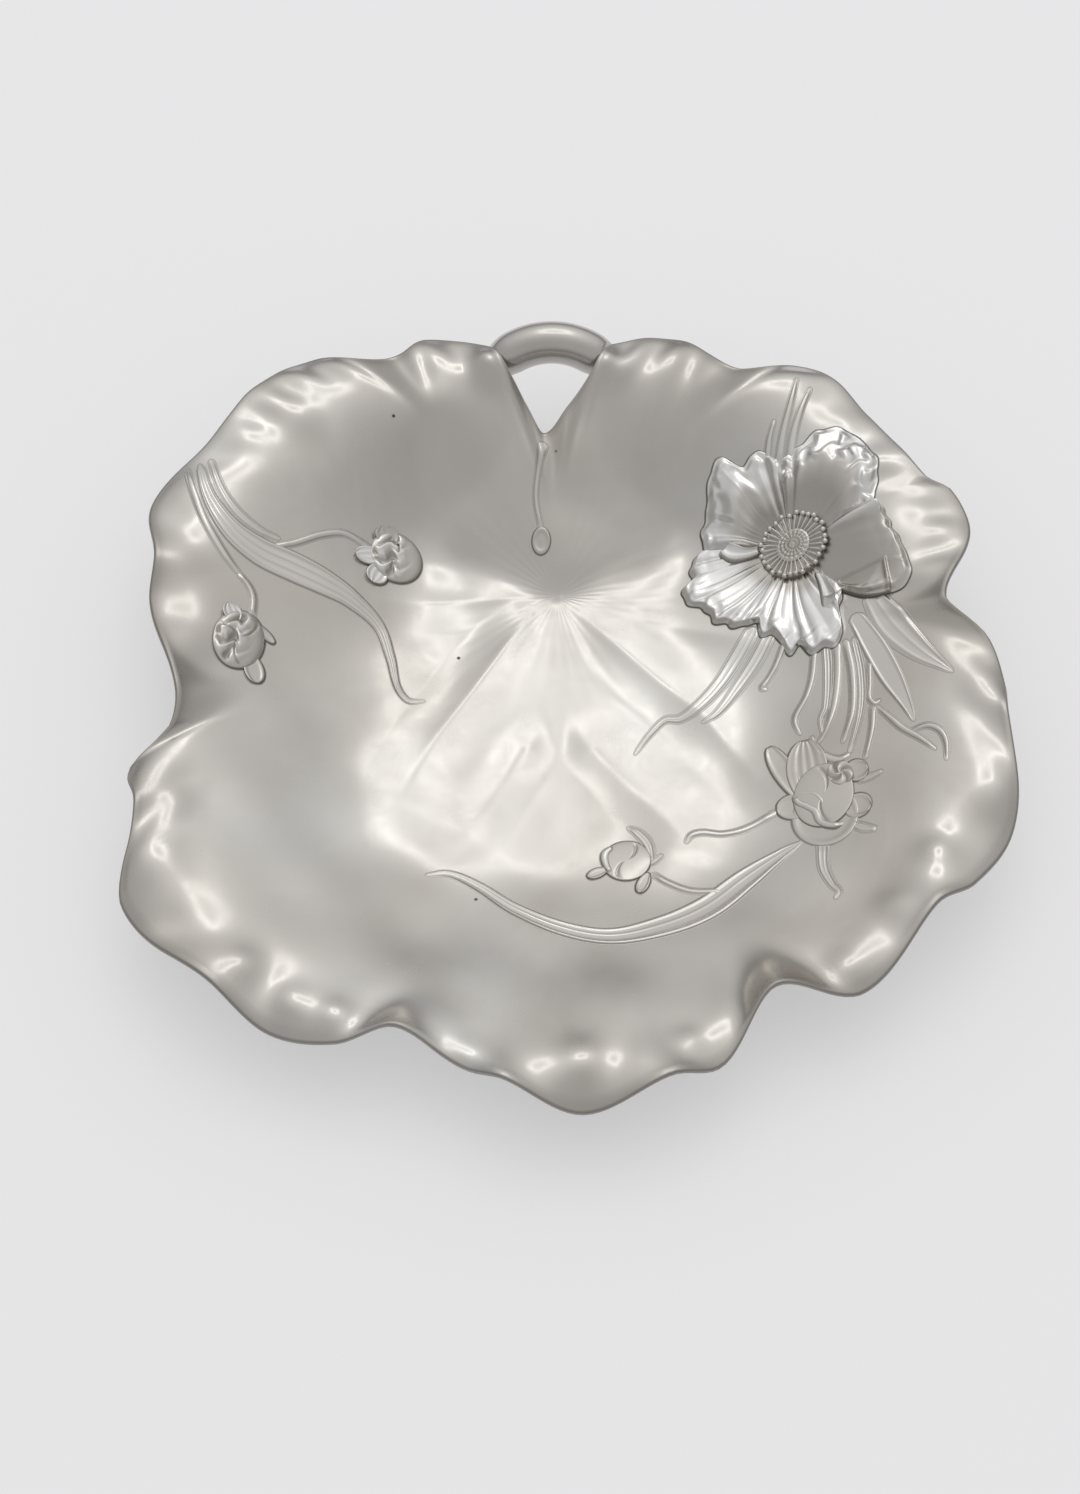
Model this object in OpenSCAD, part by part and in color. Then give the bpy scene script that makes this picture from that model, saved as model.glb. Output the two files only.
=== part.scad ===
// Leaf-shaped valet tray of cast pewter.
// A shallow lily-pad leaf with a ruffled rim holds keys, coins and rings. A short stalk bends
// into a finger loop across the notch at the back. Poppies, buds and their leaves are applied
// in relief on the upper side of the leaf, each seated on the dish's own surface.
// The origin is the centre of the standing face: +Z up, +X right, +Y towards the loop.

/* [Leaf dish] */
// Reach of the bowl's crest from the centre of the standing face
crest_r = 151; // [141:1:161]
// Height of the bowl's crest at its two sides
wall_h = 39; // [36:1:42]
// Extra height of the crest at the back, taken off at the front
wall_tilt = 7.5; // [6:0.5:9]
// Radius of the level middle of the floor
floor_r = 20; // [15:1:25]
// Radius of the standing face
base_r = 46; // [43:1:50]
// Thickness of the casting, measured upright
wall_t = 2.4; // [2.2:0.1:3]
// Height of the strongest vein above the floor
vein_h = 5.4; // [4:0.2:6]
// Width of the lip inside the rim
lip_w = 28; // [24:1:30]

/* [Finger loop] */
// Thickness of the stalk
stalk_d = 13.5; // [12:0.5:14]
// Radius of the loop at the middle of the stalk
loop_r = 28; // [27:0.5:29]
// Slant of the loop's plane above the table
loop_slant = 15; // [12:1:18]

/* [Relief] */
// Height of the relief's edges above the dish
edge_h = 0.8; // [0.6:0.1:1.2]
// Height of a leaf's midrib above the dish
midrib_h = 1.7; // [1.4:0.1:2.2]
// Height of a round stem above the dish
stem_h = 1.8; // [1.5:0.1:2.4]
// Height of the poppy's petals above the dish
petal_h = 5.6; // [4:0.2:6.4]
// Height of the buds above the dish
bud_h = 6; // [4.5:0.5:7]
// Number of anthers round the poppy's seed head
anthers = 22; // [16:1:24]

/* [Hidden] */

pewter = [0.72, 0.71, 0.68];
pewter_relief = [0.76, 0.75, 0.72];
pewter_worn = [0.66, 0.65, 0.62];

// Plan sizes and heights of the rim are written for a crest of 151 mm by 39 mm and follow it
plan = crest_r / 151;
rim_scale = wall_h / 39;
heart = [0, 57] * plan;
floor_top = 2;
corner = 4 * plan;
crest_slope = 0.5;

// Scoop behind the heart: height and slope there, how fast it widens, rounding of its crease
scoop_z = 6.5;
scoop_slope = 0.5;
scoop_spread = 88 * plan;
crease = 1.5;

// Turning points of the ruffled rim, going round the heart: bearing, reach, height.
// The rim curls down and out at a lobe, and stands up and in at a fold.
RIM = [
    [2, 151, 41], [9, 147, 43], [11, 139, 46], [26, 131, 42], [35, 129, 44], [42, 123, 41],
    [48, 103, 48], [63, 106, 42], [77, 92, 45], [80, 79, 45], [86, 66, 40], [95, 58, 32],
    [100, 67, 40], [103, 78, 45], [106, 91, 45], [118, 107, 42], [129, 103, 49], [137, 126, 41],
    [150, 134, 45], [161, 138, 43], [173, 151, 39], [183, 146, 45], [189, 149, 38], [203, 147, 43],
    [209, 155, 38], [211, 173, 32], [216, 179, 39], [219, 187, 35], [224, 204, 29], [236, 206, 37],
    [243, 209, 27], [249, 204, 29], [254, 194, 36], [261, 201, 27], [265, 205, 35], [272, 213, 25],
    [280, 206, 35], [285, 204, 27], [292, 187, 38], [300, 199, 28], [311, 191, 38], [316, 194, 33],
    [324, 192, 32], [335, 172, 43], [339, 168, 38], [345, 158, 40], [349, 141, 46]
];

// Veins, ridges that are steep on one side: points along the ridge, height at its start and end
// as a share of the strongest one, reach of the left and right flank, rounding of the ridge
VEINS = [
    [[[0, 57], [49, 80]], 0.45, 0.2, 7, 9, 1],
    [[[0, 57], [-50, 80]], 0.35, 0.2, 12, 9, 1.6],
    [[[0, 56], [-65, 52]], 0.6, 0.15, 5, 6, 1],
    [[[-10, 48], [-43, -4], [-56, -30]], 0.85, 0.1, 16, 6, 1.2],
    [[[8, 50], [52, 6], [73, -26]], 1, 0.25, 18, 6, 1],
    [[[34, 46], [69, 35]], 0.5, 0.15, 14, 7, 1.2],
    [[[0, 52], [1, 20], [2, -5]], 0.55, 0.5, 20, 20, 7],
    [[[12, -5], [42, -42]], 0.7, 0.1, 16, 6, 1],
    [[[-10, -4], [-31, -41]], 0.65, 0.1, 6, 16, 1]
];
// Width over which a vein's steep flank turns into its gentle one
vein_turn = 4;

// Hollows beside the scoop: place in plan, depth, spread
HOLLOWS = [[46, 80, 7, 18], [-48, 78, 4, 18]];

// Fineness of the leaf's surface: turn between rays, and rings on the upper and lower side
ray_step = 3.4;
rings_in = 11;
rings_out = 6;
rings_under = 10;
rings_under_lip = 4;
lip = 0.8;
// Share of the way from the standing face to the rim that the lip takes on the lower side
under_lip_share = 0.28;
// The standing face is cut out of a floor that reaches a little lower, inside a narrow step
base_sink = 1;
base_step = 0.04;

// Every relief piece is drawn this deep into the dish and then trimmed to its surface
sink = 1.2;
below = -20;
above = 90;
block_margin = 4;

function clamp(v, lo, hi) = max(lo, min(hi, v));
function along(bearing) = [cos(bearing), sin(bearing)];
function ease(t) = let (u = clamp(t, 0, 1)) u * u * (3 - 2 * u);
function sum(v) = v * [for (e = v) 1];
function wrap(turn) = turn - 360 * round(turn / 360);

// Curve through hand-chosen points, with the neighbours' chord as each point's tangent
function spline(p, i, u) =
    let (a = p[max(i - 1, 0)], b = p[i], c = p[i + 1], d = p[min(i + 2, len(p) - 1)])
    b + 0.5 * u * (c - a + u * (2 * a - 5 * b + 4 * c - d + u * (3 * b - a - 3 * c + d)));
function smooth_path(p, steps) =
    [for (i = [0 : len(p) - 2], k = [0 : steps - 1]) spline(p, i, k / steps), p[len(p) - 1]];

// Rim as a curve of the bearing, smooth through its turning points
function rim_row(i) =
    let (n = len(RIM), turn = floor(i / n), row = RIM[i - n * turn])
    [row[0] + 360 * turn, row[1] * plan, row[2] * rim_scale];
function rim_slope(i, c) =
    (rim_row(i + 1)[c] - rim_row(i - 1)[c]) / (rim_row(i + 1)[0] - rim_row(i - 1)[0]);
function hermite(a, b, slope_a, slope_b, u) =
    a + u * (slope_a + u * (3 * (b - a) - 2 * slope_a - slope_b + u * (2 * (a - b) + slope_a + slope_b)));
function rim_between(i, u) =
    let (a = rim_row(i), b = rim_row(i + 1), turn = b[0] - a[0])
    [
        a[0] + turn * u,
        hermite(a[1], b[1], turn * rim_slope(i, 1), turn * rim_slope(i + 1, 1), u),
        hermite(a[2], b[2], turn * rim_slope(i, 2), turn * rim_slope(i + 1, 2), u)
    ];
function rim_at(bearing) =
    let (
        b = bearing - 360 * floor((bearing - RIM[0][0]) / 360),
        i = max([for (k = [0 : len(RIM) - 1]) if (RIM[k][0] <= b) k]),
        turn = rim_row(i + 1)[0] - RIM[i][0]
    )
    rim_between(i, (b - RIM[i][0]) / turn);
RAYS = [
    for (i = [0 : len(RIM) - 1])
        let (parts = ceil((rim_row(i + 1)[0] - rim_row(i)[0]) / ray_step))
            for (k = [0 : parts - 1]) rim_between(i, k / parts)
];

// Softly squared bowl round the standing face: a level middle, then a wall that has almost
// levelled out again at the crest
function bowl(p) =
    let (
        turn = atan2(p.y, p.x),
        reach = crest_r - corner * cos(4 * turn),
        high = wall_h + wall_tilt * sin(turn),
        out = max(0, (norm([p.x, p.y]) - floor_r) / (reach - floor_r)),
        climb = out < 1 ? pow(out, 3) * (4 - crest_slope - (3 - crest_slope) * out)
            : 1 + crest_slope * (out - 1)
    )
    floor_top + (high - floor_top) * climb;

// Straight slope behind a parabola through the heart, joined to the bowl by a rounded crease
function scoop(p) = scoop_z + scoop_slope * (p.y - heart.y - pow(p.x - heart.x, 2) / scoop_spread);
function wall(p) =
    let (a = bowl(p), b = scoop(p)) (a + b + sqrt(pow(a - b, 2) + crease * crease)) / 2;
function hollow(p) =
    sum([for (h = HOLLOWS)
        let (away = norm([p.x, p.y] - plan * [h[0], h[1]]) / (h[3] * plan)) h[2] * exp(-away * away / 2)]);

// Crest of the highest vein at a point
function vein_span(p, v, k) =
    let (
        a = v[0][k] * plan,
        d = v[0][k + 1] * plan - a,
        from = [p.x, p.y] - a,
        t = clamp(from * d / (d * d), 0, 1),
        away = norm(from - t * d),
        side = ease(0.5 + cross(d, from) / norm(d) / vein_turn),
        flank = plan * (v[4] + (v[3] - v[4]) * side),
        crest = v[1] + (v[2] - v[1]) * (k + t) / (len(v[0]) - 1)
    )
    vein_h * crest * exp(-(sqrt(away * away + v[5] * v[5]) - v[5]) / flank);
function vein(p) = max([for (v = VEINS, k = [0 : len(v[0]) - 2]) vein_span(p, v, k)]);

// Dish along one ray from the heart: the lip bends from the wall to the rim's own height
function sheet(ray, reach) =
    let (
        p = heart + reach * along(ray[0]),
        q = clamp(1 - (ray[1] - reach) / lip_w, 0, 1),
        rim_p = heart + ray[1] * along(ray[0])
    )
    [p.x, p.y, wall(p) + (ray[2] - wall(rim_p)) * pow(q, 3) - hollow(p)];
function upper(ray, reach) = let (s = sheet(ray, reach)) [s.x, s.y, s.z + vein(s)];
function ring_reach(ray, k) =
    k <= rings_in ? (ray[1] - lip_w) * k / rings_in
        : ray[1] - lip_w * (rings_in + rings_out - k) / rings_out;
function upper_ring(rays, k) = [for (r = rays) upper(r, ring_reach(r, k))];
function lip_ring(rays) =
    [for (r = rays) let (p = heart + (r[1] + lip) * along(r[0])) [p.x, p.y, r[2] - wall_t / 2]];

// Lower side: straight ways in plan from the round standing face to the rim, at the casting's
// thickness below the sheet
function bearing_of(p) = atan2(p.y - heart.y, p.x - heart.x);
function sheet_z(p) = sheet(rim_at(bearing_of(p)), norm([p.x, p.y] - heart)).z;
function under_share(k) =
    let (inner = rings_under - rings_under_lip)
    k <= inner ? base_step + (1 - under_lip_share - base_step) * (k - 1) / (inner - 1)
        : 1 - under_lip_share * (rings_under - k) / rings_under_lip;
function lower_ring(rays, k) =
    [for (r = rays)
        let (
            rim_p = heart + r[1] * along(r[0]),
            base_p = base_r * rim_p / norm(rim_p),
            p = base_p + (rim_p - base_p) * under_share(k)
        )
        k == 0 ? [base_p.x, base_p.y, -base_sink]
            : [p.x, p.y, (k == rings_under ? r[2] : sheet_z(p)) - wall_t]];

// Height of the dish's upper side under any plan point
function dish_z(p) = upper(rim_at(bearing_of(p)), norm([p.x, p.y] - heart)).z;
function raised(p, lift) = [p.x, p.y, dish_z(p) + lift];
function sunk(grid) = [for (row = grid) [for (p = row) [p.x, p.y, dish_z(p) - sink]]];
function flat_at(grid, z) = [for (row = grid) [for (p = row) [p.x, p.y, z]]];

// Closed skin over rings of points; with two poles it closes at both ends, without it is a ring
module skin(rings, poles = []) {
    n = len(rings[0]);
    m = len(rings);
    open = len(poles) == 2;
    points = concat([for (r = rings) each r], poles);
    last = open ? m - 2 : m - 1;
    sides = [
        for (i = [0 : last], j = [0 : n - 1])
            let (a = i * n + j, b = i * n + (j + 1) % n, c = ((i + 1) % m) * n + (j + 1) % n,
                 d = ((i + 1) % m) * n + j)
                each [[a, b, c], [a, c, d]]
    ];
    caps = !open ? [] : [
        for (j = [0 : n - 1])
            each [[m * n, (j + 1) % n, j], [m * n + 1, (m - 1) * n + j, (m - 1) * n + (j + 1) % n]]
    ];
    polyhedron(points, concat(sides, caps));
}

// Closed slab between an upper and a lower grid of points of the same size
module slab(top, bottom) {
    m = len(top);
    n = len(top[0]);
    points = concat([for (r = top) each r], [for (r = bottom) each r]);
    under = m * n;
    faces = concat(
        [for (i = [0 : m - 2], j = [0 : n - 2])
            let (a = i * n + j, b = a + 1, c = b + n, d = a + n)
                each [[a, b, c], [a, c, d], [under + a, under + c, under + b],
                      [under + a, under + d, under + c]]],
        [for (i = [0 : m - 2])
            let (a = i * n, d = a + n, b = a + n - 1, c = d + n - 1)
                each [[a, d, under + d], [a, under + d, under + a],
                      [c, b, under + b], [c, under + b, under + c]]],
        [for (j = [0 : n - 2])
            let (a = j, b = j + 1, d = (m - 1) * n + j, c = d + 1)
                each [[b, a, under + a], [b, under + a, under + b],
                      [d, c, under + c], [d, under + c, under + d]]]
    );
    polyhedron(points, faces);
}

// Rays of the leaf that pass under a set of plan points, with a margin to both sides
function rays_under(points) =
    let (
        middle = bearing_of(points[floor(len(points) / 2)]),
        turns = [for (p = points) wrap(bearing_of(p) - middle)],
        lo = min(turns) - block_margin,
        hi = max(turns) + block_margin,
        picked = [for (r = RAYS) let (t = wrap(r[0] - middle)) if (t >= lo && t <= hi) [t, r]],
        start = min([for (e = picked) e[0]]),
        first = [for (k = [0 : len(picked) - 1]) if (picked[k][0] == start) k][0]
    )
    [for (k = [0 : len(picked) - 1]) picked[(first + k) % len(picked)][1]];

// Rings of the leaf that pass under a set of plan points, from the last one inside them to the
// first one outside them
function rings_below(points, rays) =
    let (
        reaches = [for (p = points) norm([p.x, p.y] - heart)],
        last = rings_in + rings_out,
        inside = [for (k = [1 : last]) if (max([for (r = rays) ring_reach(r, k)]) < min(reaches)) k],
        outside = [for (k = [1 : last]) if (min([for (r = rays) ring_reach(r, k)]) > max(reaches)) k]
    )
    [len(inside) > 0 ? max(inside) : 1, len(outside) > 0 ? min(outside) : last];

// The dish below its upper side, as a block under the given points
module dish_block(points) {
    rays = rays_under(points);
    span = rings_below(points, rays);
    top = [for (k = [span[0] : span[1]]) upper_ring(rays, k)];
    slab(top, flat_at(top, below));
}

// Everything above the outer half of the dish's lower side, over the given points
module cover_block(points) {
    rays = rays_under(points);
    bottom = [for (k = [ceil(rings_under / 2) : rings_under]) lower_ring(rays, k)];
    slab(flat_at(bottom, above), bottom);
}

// A relief piece trimmed to the dish, and to the pieces given after it
module seated(points) {
    difference() {
        children(0);
        dish_block(points);
        if ($children > 1) children([1 : $children - 1]);
    }
}

// Upright block on a plan outline, to trim one relief piece at its neighbour
module prism(outline) {
    translate([0, 0, below]) linear_extrude(above - below) polygon(outline);
}

// Leaf or stem along a path of [x, y, half width]: a low crown with an upright edge.
// The lifts run across the width, from the right edge to the left one.
function ribbon_grid(path, lifts, steps) =
    let (rows = smooth_path(path * plan, steps), n = len(lifts) - 1)
    [for (i = [0 : len(rows) - 1])
        let (
            d = rows[min(i + 1, len(rows) - 1)] - rows[max(i - 1, 0)],
            left = [-d.y, d.x] / norm([d.x, d.y])
        )
        [for (j = [0 : n])
            let (p = [rows[i].x, rows[i].y] + left * rows[i][2] * (2 * j / n - 1))
                raised(p, lifts[j])]];
module ribbon(path, lifts, steps = 3) {
    grid = ribbon_grid(path, lifts, steps);
    seated([for (row = grid) each row]) {
        slab(grid, sunk(grid));
        children();
    }
}
leaf_lifts = [edge_h, 0.6 * midrib_h, midrib_h, 0.7 * midrib_h, edge_h];
blade_lifts = [edge_h, 1.3 * edge_h, 0.8 * midrib_h, 1.3 * midrib_h, edge_h];
stem_lifts = [edge_h, 0.9 * stem_h, stem_h, 0.9 * stem_h, edge_h];

// Dome on an oval foot: centre, half sizes, turn, height, number and depth of its grooves
dome_sides = 18;
dome_rings = [0.4, 0.7, 0.9, 1];
function oval(at, size, turn, a) =
    plan * (at + size.x * cos(a) * along(turn) + size.y * sin(a) * along(turn + 90));
function oval_outline(at, size, turn) =
    [for (k = [0 : dome_sides - 1]) oval(at, size, turn, 360 * k / dome_sides)];
function dome_lift(h, u, a, grooves, depth) =
    edge_h + (h - edge_h) * sqrt(1 - u * u) * (1 - depth * u * (0.5 + 0.5 * cos(grooves * a)));
module dome(at, size, turn, h, grooves = 4, depth = 0.25) {
    turns = [for (k = [0 : dome_sides - 1]) 360 * k / dome_sides];
    rings = [for (u = dome_rings)
        [for (a = turns) raised(oval(at, size * u, turn, a), dome_lift(h, u, a, grooves, depth))]];
    foot = [for (p = rings[len(rings) - 1]) [p.x, p.y, dish_z(p) - sink]];
    middle = at * plan;
    seated(foot) {
        skin(concat(rings, [foot]), [raised(middle, h), raised(middle, -sink)]);
        children();
    }
}

// Poppy: petals are sectors round the blossom's centre, each with its own outline of
// [bearing, reach] and its own pleats
poppy = [87.5, 65.5];
petal_start = 12 * plan;
petal_steps = [0, 0.3, 0.55, 0.8, 1];
petal_edge_steps = 2;
PETAL_LEFT = [[98, 33], [108, 35], [119, 42], [132, 42], [142, 39], [152, 36], [167, 33]];
PETAL_BACK = [[18, 29], [28, 33], [42, 39], [59, 42], [77, 39], [91, 33], [98, 31]];
PETAL_RIGHT = [[-52, 26], [-46, 36], [-34, 45], [-24, 44], [-2, 37], [12, 32], [18, 27]];
PETAL_FRONT = [
    [167, 34], [175, 37], [183, 36], [194, 41], [206, 38], [214, 39], [230, 33], [236, 32], [243, 36],
    [250, 34], [260, 38], [268, 42], [274, 40], [280, 44], [292, 43], [298, 35], [308, 29]
];
function petal_edge(table) =
    [for (row = smooth_path(table, petal_edge_steps)) plan * (poppy + row[1] * along(row[0]))];
// A cupped petal is highest before its edge, a skirt rises all the way out
function petal_lift(u, arch, h, skirt) =
    edge_h + (h - edge_h) * (skirt ? 0.2 + 0.8 * u : (0.4 + 0.6 * arch) * sin(20 + 115 * u));
function petal_grid(table, h, pleats, depth, skirt) =
    let (edge = smooth_path(table, petal_edge_steps), n = len(edge) - 1)
    [for (u = petal_steps)
        [for (j = [0 : n])
            let (
                reach = petal_start + (edge[j][1] * plan - petal_start) * u,
                p = poppy * plan + reach * along(edge[j][0]),
                pleat = depth * u * cos(360 * pleats * j / n)
            )
            raised(p, petal_lift(u, sin(180 * j / n), h, skirt) + pleat)]];
module petal(table, h, pleats, depth, skirt = false) {
    grid = petal_grid(table, h, pleats, depth, skirt);
    seated([for (row = grid) each row]) slab(grid, sunk(grid));
}
poppy_outline = [for (table = [PETAL_RIGHT, PETAL_BACK, PETAL_LEFT, PETAL_FRONT])
    let (edge = petal_edge(table)) each [for (k = [0 : len(edge) - 2]) edge[k]]];

// Stands its children upright on the dish's slope at a plan point
slope_step = 2;
module on_slope(at) {
    p = at * plan;
    slope = [for (d = [[slope_step, 0], [0, slope_step]]) (dish_z(p + d) - dish_z(p - d)) / (2 * slope_step)];
    translate([p.x, p.y, dish_z(p)])
        rotate([0, 0, atan2(slope.y, slope.x)]) rotate([0, -atan(norm(slope)), 0]) children();
}
seed_r = 6.6 * plan;
seed_h = 4.4;
stamen_in = 7 * plan;
stamen_out = 11.4 * plan;
stamen_h = 3;
anther_r = 1.15 * plan;

// Half-open bloom: a rosette of outer petals round a closed core
bloom = [93, -35];
bloom_out = [18, 17];
bloom_core_size = [10, 11];
bloom_core_at = [94, -36];
bloom_turn = 20;
bloom_sides = 30;
bloom_petal_count = 5;
function bloom_ring(u, lift) =
    [for (k = [0 : bloom_sides - 1])
        let (
            a = 360 * k / bloom_sides,
            wave = 0.5 + 0.5 * abs(sin(bloom_petal_count * a / 2)),
            inner = oval(bloom_core_at, bloom_core_size * 1.02, bloom_turn, a),
            outer = oval(bloom, bloom_out * (0.78 + 0.22 * wave), bloom_turn, a)
        )
        raised(inner + (outer - inner) * u, lift * (0.55 + 0.45 * wave))];
bloom_outline = [for (p = bloom_ring(1, 1)) [p.x, p.y]];

// Buds: centre, half sizes and turn of the oval foot
bud_front_at = [24, -55];
bud_front_size = [8.8, 9];
bud_upper_at = [-63, 70];
bud_upper_size = [11, 11];
bud_lower_at = [-115, 22];
bud_lower_size = [8.8, 12.5];
bud_lower_turn = -12;
drop_at = [-6, 81];
drop_size = [3.4, 4.6];

// Paths of leaves and stems: x, y, half width
PATHS_POPPY_STEM = [
    [[79, 98, 1.8], [82, 109, 1.7], [87, 121, 1.4], [90, 128, 0.8]],
    [[85, 97, 1.9], [87.5, 106, 1.8], [91.5, 118, 1.5], [95, 125, 0.8]]
];
PATHS_LEAF_LEFT = [
    [[75, 38, 4], [67, 25, 4], [58, 12, 3.2], [49, 3, 2.2], [39, 3, 1.6], [32, -5, 1.2], [27, -12, 0.6]],
    [[83, 33, 2.6], [75, 20, 2.4], [66, 9, 1.8], [58, 1, 0.6]],
    [[87, 29, 1], [81, 18, 0.9], [77, 12, 0.6]]
];
PATHS_LEAF_MIDDLE = [
    [[92, 26, 1.4], [92, 17, 1.3], [89, 7, 1.2], [85, -3, 0.6]],
    [[97, 25, 1.9], [97, 14, 1.9], [96, 4, 1.7], [93, -7, 0.6]],
    [[103, 24, 2.2], [103, 14, 2.3], [100, 1, 2], [96.5, -11, 0.9]],
    [[108, 23, 1.4], [108.5, 10, 1.5], [107, -2, 1.4], [104, -15, 0.9]],
    [[112, -1, 1.6], [111, -10, 1.4], [109, -21, 0.9]]
];
PATHS_LEAF_RIGHT = [
    [[110, 26, 2.6], [115.5, 12, 3.6], [120, -2, 3.4], [125, -14, 0.6]],
    [[115.5, -7, 0.6], [120, -15, 1.4], [126, -20, 1.6], [131, -25, 1.2], [134, -31, 0.6]]
];
PATHS_LEAF_OUTER = [[[113, 40, 4], [120, 24, 5.2], [129, 11, 4.2], [139, 3, 0.6]]];
PATHS_SWEEP = [[
    [-46, -62, 0.9], [-38, -61, 1.5], [-28, -66, 1.9], [-15, -76, 2.6], [1, -84, 3.2], [18, -88, 3.6],
    [35, -85, 4.2], [51, -77, 5], [65, -66, 4.4], [80, -54, 1.6]
]];
PATHS_TENDRIL = [[[47, -49, 0.9], [51, -46, 1.5], [58, -46, 1.6], [68, -43, 1.7], [77, -38, 1.2]]];
PATHS_FRONT_STEM = [[[33, -60, 1.6], [40, -66, 1.5], [49, -70, 0.9]]];
PATHS_FRONT_SEPALS = [
    [[34, -57, 1.2], [34, -49, 2.2], [31, -43, 1.9], [26, -40, 0.6]],
    [[16, -60, 2.4], [12.5, -61.5, 2.6], [10, -62, 1]],
    [[28, -63, 1.8], [27, -68, 2.2], [26, -72, 0.7]]
];
PATHS_BLOOM_SEPALS = [
    [[108, -28, 1.8], [113, -26, 2], [118, -25, 0.7]],
    [[103, -50, 1.8], [108, -53, 2.2], [113, -52, 0.8]],
    [[92, -54, 1.8], [90, -64, 1.7], [91, -71, 1.4], [95, -77, 0.6]]
];
PATHS_SPRAY = [
    [[-134, 92, 1.6], [-129, 76, 2.6], [-120, 65, 4.2], [-110, 59, 5.2], [-98, 56, 5.6], [-87, 53, 5],
     [-77, 49, 3.8], [-67, 41, 2.4], [-62, 28, 1.9], [-59, 16, 1.4], [-55, 11, 1.1], [-49, 11, 0.6]],
    [[-138, 90, 0.9], [-134, 78, 1.3], [-129, 65, 1.6], [-123, 56, 1.4], [-119.5, 52, 0.8]],
    [[-128, 93, 0.9], [-123, 80, 1.4], [-117.5, 72.5, 1.5], [-110, 67.5, 1.2], [-104, 66.5, 0.6]]
];
PATHS_UPPER_STEM = [[[-101, 65, 1], [-96, 66.5, 1.5], [-88, 71, 1.6], [-80, 74, 1.6], [-71, 72, 1.4]]];
PATHS_LOWER_STEM = [[[-116.5, 48.5, 1], [-112, 44, 1.5], [-111, 40, 1.5], [-111, 32, 1.3]]];
PATHS_NOTCH_STALK = [[[-5, 110, 2.2], [-7, 102, 1.4], [-8, 93, 1], [-6, 84, 0.9]]];

// Finger loop: an arc of the stalk whose ends pass under the two shoulders beside the notch
loop_top = [-2.5, 147.5] * plan;
loop_top_z = 46 * rim_scale;
loop_half_turn = 60;
loop_steps = 20;
loop_sides = 18;
loop_swell = 0.16;
loop_end = 0.7;
// Turn beyond which the loop lies at the shoulders
loop_shoulder = 20;

module leaf_dish() {
    upper_rings = [for (k = [1 : rings_in + rings_out]) upper_ring(RAYS, k)];
    lower_rings = [for (k = [rings_under : -1 : 0]) lower_ring(RAYS, k)];
    side = 2 * crest_r;
    color(pewter) difference() {
        skin(concat(upper_rings, [lip_ring(RAYS)], lower_rings), [upper(RAYS[0], 0), [0, 0, -base_sink]]);
        translate([-side, -side, below]) cube([2 * side, 2 * side, -below]);
    }
}

// Ring of the stalk at a turn from the loop's top: its own size and a shift along the stalk
function loop_ring(turn, size, shift) =
    let (
        rise = [0, cos(loop_slant), sin(loop_slant)],
        right = [1, 0, 0],
        middle = [loop_top.x, loop_top.y, loop_top_z] - loop_r * rise,
        out = sin(turn) * right + cos(turn) * rise,
        ahead = cos(turn) * right - sin(turn) * rise,
        side = cross(ahead, out),
        at = middle + loop_r * out + shift * ahead
    )
    [for (k = [0 : loop_sides - 1])
        at + size * stalk_d / 2 * (cos(360 * k / loop_sides) * out + sin(360 * k / loop_sides) * side)];
module loop_handle() {
    arc = [for (k = [0 : loop_steps]) loop_half_turn * (2 * k / loop_steps - 1)];
    bar = [for (turn = arc) loop_ring(turn, 1 + loop_swell * pow(turn / loop_half_turn, 4), 0)];
    ends = [for (s = [-1, 1]) loop_ring(s * loop_half_turn, loop_end, s * loop_end * stalk_d / 2)];
    poles = [for (s = [-1, 1]) loop_ring(s * loop_half_turn, 0, s * stalk_d / 2)[0]];
    color(pewter_worn) difference() {
        skin(concat([ends[0]], bar, [ends[1]]), poles);
        for (s = [0, 1])
            cover_block(concat(ends[s],
                [for (k = [0 : loop_steps]) if ((2 * s - 1) * arc[k] > loop_shoulder) each bar[k]]));
    }
}

// Several ribbons of one kind, all trimmed by the same neighbours
module ribbons(paths, lifts) {
    for (path = paths) ribbon(path, lifts) children();
}

module notch_stalk() {
    color(pewter_relief) ribbons(PATHS_NOTCH_STALK, stem_lifts)
        prism(oval_outline(drop_at, drop_size, 0));
}

module stalk_drop() { color(pewter_worn) dome(drop_at, drop_size, 0, stem_h, 1, 0); }

module poppy_petal_left() { color(pewter_relief) petal(PETAL_LEFT, 1.1 * petal_h, 3, 0.6); }
module poppy_petal_back() { color(pewter_relief) petal(PETAL_BACK, petal_h, 4, 0.6); }
module poppy_petal_right() { color(pewter_relief) petal(PETAL_RIGHT, petal_h, 2, 0.5); }
module poppy_petal_front() { color(pewter_relief) petal(PETAL_FRONT, petal_h, 9, 0.7, skirt = true); }

module poppy_seed_head() {
    color(pewter_worn) seated([for (a = [0 : 60 : 300]) poppy * plan + seed_r * along(a)])
        on_slope(poppy) rotate_extrude($fn = 64)
            polygon([[0, -sink], [seed_r, -sink], [seed_r, 0.5 * seed_h], [0.7 * seed_r, 0.85 * seed_h],
                     [0.55 * seed_r, seed_h], [0, 0.9 * seed_h]]);
}

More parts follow.
